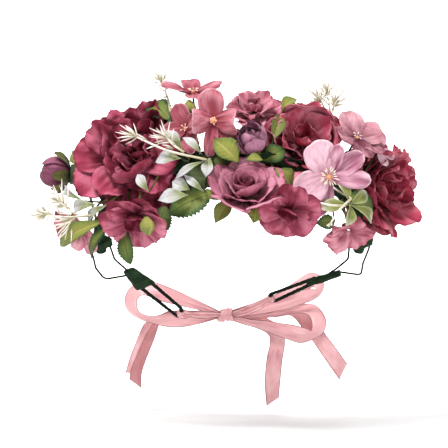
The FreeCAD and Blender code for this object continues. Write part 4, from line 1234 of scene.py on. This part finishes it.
ARMS = {
    "left": Arm(
        (
            (rail_end(-1, 85), (-82.5, 23), (-73, 38.5), (-68, 47)),
            (rail_end(-1, 99), (-96.5, 34), (-91, 48), (-72.5, 42.5), (-66, 45)),
        ),
        (12, 5),
        ((-61.5, 45.5), (-35.8, 86), (-37.5, 98.5), (-69, 53)),
        ((-77, 39), (-69, 34), (-68.5, 61.5), (-54.5, 51.5)),
        0.0, 0.5,
    ),
    "right": Arm(
        (
            (rail_end(1, 85), (84.5, 23), (76.5, 35), (70, 43)),
            (rail_end(1, 99), (95.5, 28), (95, 42.5), (77.5, 38.3), (70, 42)),
        ),
        (8, 3),
        ((62, 46.5), (29.5, 67.5), (31.5, 77.5), (61, 48.5, -2.8)),
        ((79, 33.5), (80.5, 40), (55, 47), (58, 53)),
        -2.3, 0.3,
    ),
}
TAPE_THICKNESS = 4.6
PAD_ROWS = 16
PAD_SIDES = 26
EYELET_RADIUS = 1.15


def make_arms():
    """The bendable ends: their wires, the taped joint and the taped eyelet."""
    for side, arm in ARMS.items():
        body = "arm_" + side
        wires = Cloth()
        for points, bend in zip(arm.wires, arm.bends):
            line = fine(rounded([plane_point(*point) for point in points], bend), 1.5)
            round_bar(wires, line, (RAIL_DIAMETER / 2, RAIL_DIAMETER / 2), 0.5, 10)
        piece = wires.piece("bent_wires_" + side, WIRE, "wire")
        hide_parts("end_wires_" + side)
        start = plane_point(-92 if side == "left" else 92, 11.8)
        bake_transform(piece)
        eyelet = Cloth()
        line = fine(rounded([plane_point(*point) for point in arm.eyelet], 2.0), 0.7)
        round_bar(eyelet, line, (EYELET_RADIUS + 0.25, EYELET_RADIUS, EYELET_RADIUS + 0.25), 0.12, 12,
                  ridge=0.22, ridge_step=3.2, seed=3.0)
        fasten(eyelet.piece("taped_eyelet_" + side, CREPE, "floral_tape"), body, "eyelet_" + side)
        tape = Cloth()
        corners = [plane_point(*corner) for corner in arm.tape]
        tape_pad(tape, corners[:2], corners[2:], arm.tape_lift, arm.tape_tone)
        fasten(tape.piece("crumpled_tape_" + side, CREPE, "floral_tape"), body, "tape_joint_" + side)


# ---------------------------------------------------------------- the ribbon

def edge_pairs(rows):
    """Pairs of ribbon edge points from rows of x, z and y for one edge and then the other."""
    return [(Vector((row[0], row[2], row[1])), Vector((row[3], row[5], row[4]))) for row in rows]


def tail_pairs(first_y, y, rows):
    """Pairs of a tail's edge points from rows of x and z for one edge and then the other. The first
    row lies at a depth of its own, and so may the second edge, which then has it at its row's end."""
    full = []
    for index, (x, z, other_x, other_z, *own) in enumerate(rows):
        depth = y if index else first_y
        full.append((x, z, depth, other_x, other_z, own[0] if own else depth))
    return edge_pairs(full)


def ribbon_patch(cloth, pairs, tone, seed=0.0, crown=0.5, pleat=0.0, columns=12, steps=7):
    """A ribbon between two edges. Where the edges draw together the spare width is pleated."""
    first = smooth_line([pair[0] for pair in pairs], steps)
    second = smooth_line([pair[1] for pair in pairs], steps)
    rows = []
    centre = [(one + other) / 2 for one, other in zip(first, second)]
    count = len(first)
    travelled = 0.0
    for index in range(count):
        low = max(index - 1, 0)
        high = min(index + 1, count - 1)
        ahead = (first[high] + second[high] - first[low] - second[low]).normalized()
        across_line = second[index] - first[index]
        normal = across_line.cross(ahead).normalized()
        if index:
            travelled += (centre[index] - centre[index - 1]).length
        gather = max(0.0, 1 - across_line.length / RIBBON_WIDTH)
        spots = []
        for column in range(columns + 1):
            across = column / columns
            lift = crown * (1 - (2 * across - 1) ** 2)
            lift += pleat * gather * math.sin(across * math.pi * 5 + seed)
            lift += 0.35 * noise.noise((travelled * 0.09 + seed, across * 1.4, seed)) * (1 + 2 * gather)
            mark = (across, index / (count - 1), tone, abs(2 * across - 1))
            spots.append((first[index] + across_line * across + normal * lift, mark))
        rows.append(spots)
    cloth.patch(rows)
    return travelled


def ribbon_piece(name, pairs, tone, held, seed, rests_on=(), **shape):
    """One length of ribbon as its own sheet, cut as long as its centre line."""
    cloth = Cloth()
    length = round(ribbon_patch(cloth, pairs, tone, seed, **shape)) * MM
    piece = cloth.piece(name, SATIN, "satin_ribbon", RIBBON_THICKNESS)
    return piece


# The edges of each loop, from the knot round its end and back, as (x, z, y): the outer
# edge of the loop first.
LOOP_LEFT = edge_pairs((
    (-6, -54.6, 76, -6, -57.5, 77),
    (-15, -50.2, 80, -17, -54.8, 79),
    (-30, -43.2, 83, -33, -51.2, 80.8),
    (-45, -36.4, 83.5, -48, -47.8, 80.4),
    (-58, -32.2, 84, -57, -44.6, 79),
    (-69, -32.8, 84.5, -64.5, -42.2, 79),
    (-76.5, -38.4, 84.5, -68.5, -44.5, 79),
    (-79.2, -47.2, 84.5, -69.6, -49.0, 79),
    (-75.5, -55.6, 84.5, -67.4, -54.6, 79),
    (-68.0, -60.2, 84.0, -60.5, -57.6, 79),
    (-60.0, -63.2, 83.5, -53.0, -57.0, 79),
    (-51.0, -65.6, 83, -46.0, -55.0, 80.4),
    (-42.0, -66.7, 83, -40.0, -54.8, 81.0),
    (-33.0, -66.1, 83, -32.0, -56.5, 81.0),
    (-24.0, -64.2, 82, -24.0, -57.6, 79.6),
    (-15.0, -61.6, 79, -16.0, -57.6, 78),
    (-6.0, -59.2, 77, -6.0, -57.2, 76),
))
LOOP_RIGHT_UPPER = edge_pairs((
    (0, -53.6, 76, 0, -56.6, 78),
    (12, -49.6, 79, 13, -56.6, 81),
    (25, -45.8, 80, 29, -56.0, 82),
    (38, -39.6, 81, 43, -50.2, 83),
    (50, -31.2, 82, 55, -42.0, 83.5),
    (60, -25.4, 83, 62, -36.5, 82),
    (68, -27.4, 84, 64.0, -36.4, 80),
    (71.2, -34.8, 84, 64.2, -37.6, 79),
    (68.6, -41.8, 83, 60.6, -37.4, 78.5),
    (61.0, -46.8, 82, 54.0, -38.6, 78.5),
    (50, -50.4, 82, 46, -42.6, 78.5),
    (36, -54.0, 81, 32, -46.2, 78.5),
    (20, -56.6, 79, 18, -50.4, 77.5),
    (8, -57.6, 77, 8, -53.4, 76),
    (0, -57.0, 76, 0, -54.6, 75.5),
))
LOOP_RIGHT_LOWER = edge_pairs((
    (0, -57.0, 78, 0, -59.4, 79),
    (14, -56.4, 84, 15, -60.6, 85),
    (28, -53.6, 86, 30, -59.6, 87),
    (43, -50.6, 88, 44, -57.0, 87),
    (55, -49.2, 90, 53, -56.2, 87),
    (64.5, -49.8, 91, 58.6, -57.4, 86),
    (71.0, -56.0, 91, 61.2, -61.0, 86),
    (73.4, -64.0, 91, 62.0, -66.0, 86),
    (70.4, -71.6, 91, 61.0, -69.0, 86),
    (62.0, -76.8, 90.5, 58.0, -67.4, 85.5),
    (53.0, -78.8, 90, 49.5, -64.9, 85),
    (42.0, -75.4, 89, 39.5, -63.4, 85),
    (28.5, -70.0, 88, 29.5, -61.6, 84),
    (15, -65.0, 85, 16, -60.2, 82),
    (4, -60.6, 79, 5, -57.8, 78),
    (-2, -59.8, 77, -2, -57.6, 77),
))
LEAD_Y = 93.9
SECOND_Y = 95.1
TURNED_Y = 87.4
TAIL_LEFT_FRONT = tail_pairs(86, LEAD_Y, (
    (-6, -60.0, -5, -56.0),
    (-22, -62.6, -22, -54.6),
    (-42, -63.2, -42, -54.4),
    (-55, -62.4, -51, -57.6),
    (-59.2, -66.0, -53.4, -65.0, TURNED_Y),
    (-63.4, -72.5, -56.6, -75.2, TURNED_Y),
    (-68.0, -82.6, -60.0, -83.6, TURNED_Y),
    (-72.2, -92.7, -63.6, -92.4, TURNED_Y),
    (-75.0, -100.0, -66.2, -101.6, TURNED_Y),
    (-76.2, -106.8, -66.6, -112.8, TURNED_Y),
))
TAIL_LEFT_BACK = tail_pairs(88, SECOND_Y, (
    (-6, -60.0, -5, -55.0),
    (-24, -62.0, -24, -54.4),
    (-44, -62.8, -43, -54.4),
    (-56, -58.6, -50, -56.4),
    (-62.6, -62.2, -53.4, -62.6),
    (-66.8, -67.6, -56.6, -70.0),
    (-71.6, -79.3, -61.0, -82.0),
    (-75.8, -90.2, -65.0, -93.0),
    (-79.0, -101.6, -68.0, -103.6),
))
TAIL_MIDDLE = tail_pairs(86, LEAD_Y, (
    (-2, -60.4, -2, -56.0),
    (10, -65.0, 12, -56.4),
    (22, -68.6, 28, -60.0),
    (29.4, -73.0, 40.0, -68.0),
    (30.4, -80.0, 42.2, -79.0),
    (28.2, -90.0, 40.4, -91.0),
    (26.9, -104.0, 39.0, -104.0),
    (27.1, -116.7, 38.0, -114.0),
    (28.2, -126.9, 37.5, -120.6),
))
TAIL_RIGHT = tail_pairs(87, LEAD_Y, (
    (-2, -59.0, -2, -55.0),
    (16, -58.8, 17, -52.4),
    (34, -59.6, 38, -51.0),
    (46.6, -58.6, 54.0, -50.6),
    (54.4, -66.6, 64.2, -60.0),
    (61.0, -74.8, 72.6, -71.6),
    (69.6, -87.4, 80.6, -82.4),
    (77.4, -98.6, 86.0, -90.0),
    (83.4, -107.0, 89.4, -94.8),
))
STRAND_LEFT = edge_pairs((
    (-35.4, -52.4, 75, -36.0, -59.6, 77),
    (-32.6, -53.2, 75, -33.4, -59.8, 76),
    (-29.0, -54.2, 75, -29.4, -58.2, 75.4),
    (-24.0, -53.8, 75, -24.4, -59.4, 75.2),
    (-17.0, -53.9, 74.8, -17.0, -59.3, 75.0),
    (-10.0, -54.6, 74.4, -10.0, -58.6, 74.6),
    (-4.0, -55.0, 73.9, -4.0, -58.0, 74.1),
))
STRAND_RIGHT = edge_pairs((
    (31.0, -41.0, 57, 29.6, -47.6, 62),
    (27.6, -42.4, 59, 27.2, -49.0, 63.6),
    (22.0, -45.4, 64, 22.6, -52.0, 68),
    (13.0, -49.6, 72, 14.0, -56.4, 74),
    (6.0, -53.0, 75.6, 6.4, -58.0, 76.4),
    (-2.0, -54.8, 76.8, -2.0, -58.2, 77.0),
))
HINGE_BLEND = 9.0

# Each tail: its edges, its tone, which is painted shade where the tail lies in shade (deepest on the
# turned front left tail), and where it hangs from.
Tail = namedtuple("Tail", "pairs tone hinge")
TAILS = {
    "tail_left_front": Tail(TAIL_LEFT_FRONT, 0.14, (-56.7, -64.7)),
    "tail_left_back": Tail(TAIL_LEFT_BACK, 0.46, (-58.5, -64.7)),
    "tail_middle": Tail(TAIL_MIDDLE, 0.46, (36.2, -79.7)),
    "tail_right": Tail(TAIL_RIGHT, 0.46, (67.3, -74.1)),
}


def make_tails():
    """The four hanging ends. Each starts behind the knot."""
    for seed, (name, tail) in enumerate(TAILS.items()):
        piece = ribbon_piece(name + "_ribbon", tail.pairs, tail.tone, "hung", 20.0 + seed,
                             rests_on="bow_knot", crown=0.35, pleat=0.5)
        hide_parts(name)
        across, up = tail.hinge
        Vector((across, LEAD_Y, up + 1)) * MM
        Vector((across, LEAD_Y, up - HINGE_BLEND)) * MM
        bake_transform(piece)


def make_loops():
    """The loops of the bow, each from the knot outward."""
    loops = (
        ("left", LOOP_LEFT, 0.56, "bow_left", (-9.0, 80, -56.5), (-26.0, 80, -55.0)),
        ("right_upper", LOOP_RIGHT_UPPER, 0.54, "bow_right", (2.0, 80, -55.5), (20.0, 80, -52.0)),
        ("right_lower", LOOP_RIGHT_LOWER, 0.60, "bow_right", (2.0, 80, -58.0), (20.0, 80, -60.0)),
    )
    for seed, (loop, pairs, tone, body, start, end) in enumerate(loops):
        name = "bow_loop_" + loop
        piece = ribbon_piece(name + "_ribbon", pairs, tone, "folded", 3.0 + seed * 4,
                             rests_on="bow_knot", crown=0.6, pleat=0.7)
        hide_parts(name)
        Vector(start) * MM
        Vector(end) * MM
        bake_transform(piece)


KNOT_STEPS = 44
KNOT_COLUMNS = 14
EYE_RING_STEPS = 32
EYE_RING_COLUMNS = 16


def make_knot():
    """The knot: ribbon wound round the gathered strands, pleated and a little skewed."""
    cloth = Cloth()
    centre = Vector((-3.6, 75.5, -56.8))

    def place(row, column):
        spin = 2 * math.pi * row / KNOT_STEPS
        across = column / KNOT_COLUMNS
        pleats = 0.42 * math.sin(across * math.pi * 5 + spin * 0.6) + 0.2 * math.sin(across * 23 + spin)
        round_off = 1 - 0.22 * abs(2 * across - 1) ** 3
        tall = (5.4 * swell + pleats) * round_off
        deep = (4.2 * swell + pleats) * round_off
        x = (across - 0.5) * (8.4 - 1.6 * math.sin(spin) ** 2) + skew * math.sin(spin) + shift
        point = centre + Vector((x, -math.cos(spin) * deep, math.sin(spin) * tall))
        return point, (across, row / KNOT_STEPS, 0.55, abs(2 * across - 1) * 0.95)

    for skew, swell, shift in ((2.6, 1.0, 0.0), (-1.8, 0.86, 1.4)):
        cloth.patch(grid(KNOT_STEPS + 1, KNOT_COLUMNS + 1, place))
    piece = cloth.piece("bow_knot_ribbon", SATIN, "satin_ribbon", RIBBON_THICKNESS)
    fasten(piece, "bow", "bow_knot")


def make_leads():
    """The gathered ribbon behind the knot, where the tails leave it."""
    pairs = edge_pairs((
        (-7.0, -54.2, 79.0, -7.0, -60.4, 79.0),
        (-5.0, -54.0, 84.0, -5.0, -60.6, 84.0),
        (-3.6, -53.6, 89.0, -3.6, -61.0, 89.0),
        (-3.0, -53.4, 92.6, -3.0, -61.2, 92.6),
    ))
    piece = ribbon_piece("ribbon_behind_knot", pairs, 0.4, "gathered", 31.0, rests_on="bow_knot",
                         crown=1.2, pleat=1.2, columns=20)
    fasten(piece, "bow", "tail_leads")


def eye_ring(start, end, tone):
    """Gathered ribbon that goes round the end bar of an eyelet."""
    bar = (end - start).normalized()
    out = plane_point(0, 0, 1)
    other = bar.cross(out)

    def place(row, column):
        spin = 2 * math.pi * row / EYE_RING_STEPS
        across = column / EYE_RING_COLUMNS
        radius = 2.1 + 0.35 * math.sin(across * math.pi * 7 + spin) - 0.5 * abs(2 * across - 1) ** 3
        radius *= 1.0 + 0.2 * max(0.0, math.cos(spin - 0.6))
        point = (start + end) / 2 + bar * (across - 0.5) * 7.5
        point += out * math.cos(spin) * radius + other * math.sin(spin) * radius
        return point, (across, row / EYE_RING_STEPS, tone, abs(2 * across - 1))

    return grid(EYE_RING_STEPS + 1, EYE_RING_COLUMNS + 1, place)


def make_strands():
    """The ribbon from each eyelet to the knot, looped round the eyelet's end bar."""
    strands = (("left", STRAND_LEFT, 0.66, 3.0), ("right", STRAND_RIGHT, 0.50, 9.0))
    for side, pairs, tone, seed in strands:
        body = "arm_" + side
        piece = ribbon_piece("ribbon_strand_" + side + "_cloth", pairs, tone, "gathered", seed,
                             rests_on="eyelet_" + side, crown=0.8, pleat=1.3, columns=22)
        fasten(piece, body, "ribbon_strand_" + side)
        start, end = (plane_point(*corner) for corner in ARMS[side].eyelet[1:3])
        cloth = Cloth()
        cloth.patch(eye_ring(start, end, tone - 0.1))
        ring = cloth.piece("ribbon_round_eyelet_" + side, SATIN, "satin_ribbon", RIBBON_THICKNESS)
        fasten(ring, body)


# ---------------------------------------------------------------- the stage

CAMERA_PLACE = Vector((-4.2, -1200.0, 11.3))
SENSOR_WIDTH = 36.0
VIEW_WIDTH_AT_ORIGIN = 315.5
FLOOR_GAP = 1.0
FLOOR_HALF_WIDTH = 4500
WALL_CENTRE = Vector((0, 3000, 0))


def make_stage():
    """A pale floor that curves up behind, a white world, soft lamps and the camera."""
    low = cad_box[0][2] / MM - FLOOR_GAP
    profile = [Vector((0, -4000, low)), Vector((0, 1500, low)), Vector((0, 2300, low + 60)),
               Vector((0, 2900, low + 500)), Vector((0, 3100, low + 1500)), Vector((0, 3150, low + 4000))]
    line = smooth_line(profile, 8)
    cloth = Cloth()
    sides = (Vector((-FLOOR_HALF_WIDTH, 0, 0)), Vector((FLOOR_HALF_WIDTH, 0, 0)))
    cloth.patch([[(point + side, (0, 0, 0, 0)) for side in sides] for point in line])
    surface = Surface("pale_floor", roughness=0.9, specular=0.1)
    grain = surface.mixed(surface.speckle(40, 3), (0.93, 0.93, 0.93), (0.96, 0.96, 0.96))
    surface.tree.links.new(grain.socket, surface.shader.inputs["Base Color"])
    floor = cloth.piece("pale_floor", surface.material, "satin_ribbon")

    world = bpy.data.worlds.new("white_room")
    world.use_nodes = True
    world.node_tree.nodes["Background"].inputs["Color"].default_value = (1.0, 1.0, 1.0, 1.0)
    world.node_tree.nodes["Background"].inputs["Strength"].default_value = 0.40
    bpy.context.scene.world = world
    bpy.context.scene.view_settings.view_transform = "Standard"

    lamps = (
        ("key_lamp", (-420, -850, 1250), 420, 30.0),
        ("fill_lamp", (900, -900, 300), 1000, 5.0),
        ("back_lamp", (200, 900, 900), 900, 2.0),
        ("wall_lamp", (0, 1400, 1500), 2500, 110.0),
    )
    for name, place, size, power in lamps:
        lamp = bpy.data.lights.new(name, "AREA")
        lamp.size = size * MM
        lamp.energy = power
        holder = bpy.data.objects.new(name, lamp)
        holder.location = Vector(place) * MM
        aim = WALL_CENTRE if name == "wall_lamp" else Vector((0, 0, 0))
        holder.rotation_euler = (aim - Vector(place)).to_track_quat("-Z", "Y").to_euler()
        bpy.context.scene.collection.objects.link(holder)

    camera = bpy.data.cameras.new("camera")
    camera.sensor_width = SENSOR_WIDTH
    camera.lens = SENSOR_WIDTH * -CAMERA_PLACE.y / VIEW_WIDTH_AT_ORIGIN
    camera.clip_start = 0.05
    camera.clip_end = 20.0
    holder = bpy.data.objects.new("camera", camera)
    holder.location = CAMERA_PLACE * MM
    holder.rotation_euler = (math.radians(90), 0, 0)
    bpy.context.scene.collection.objects.link(holder)
    bpy.context.scene.camera = holder


make_stage()
make_band()
make_arms()
make_peonies()
make_rose_and_buds()
make_blossoms()
make_florets()
make_sepals()
make_leaves()
make_sprays()
make_strands()
make_knot()
make_leads()
make_loops()
make_tails()
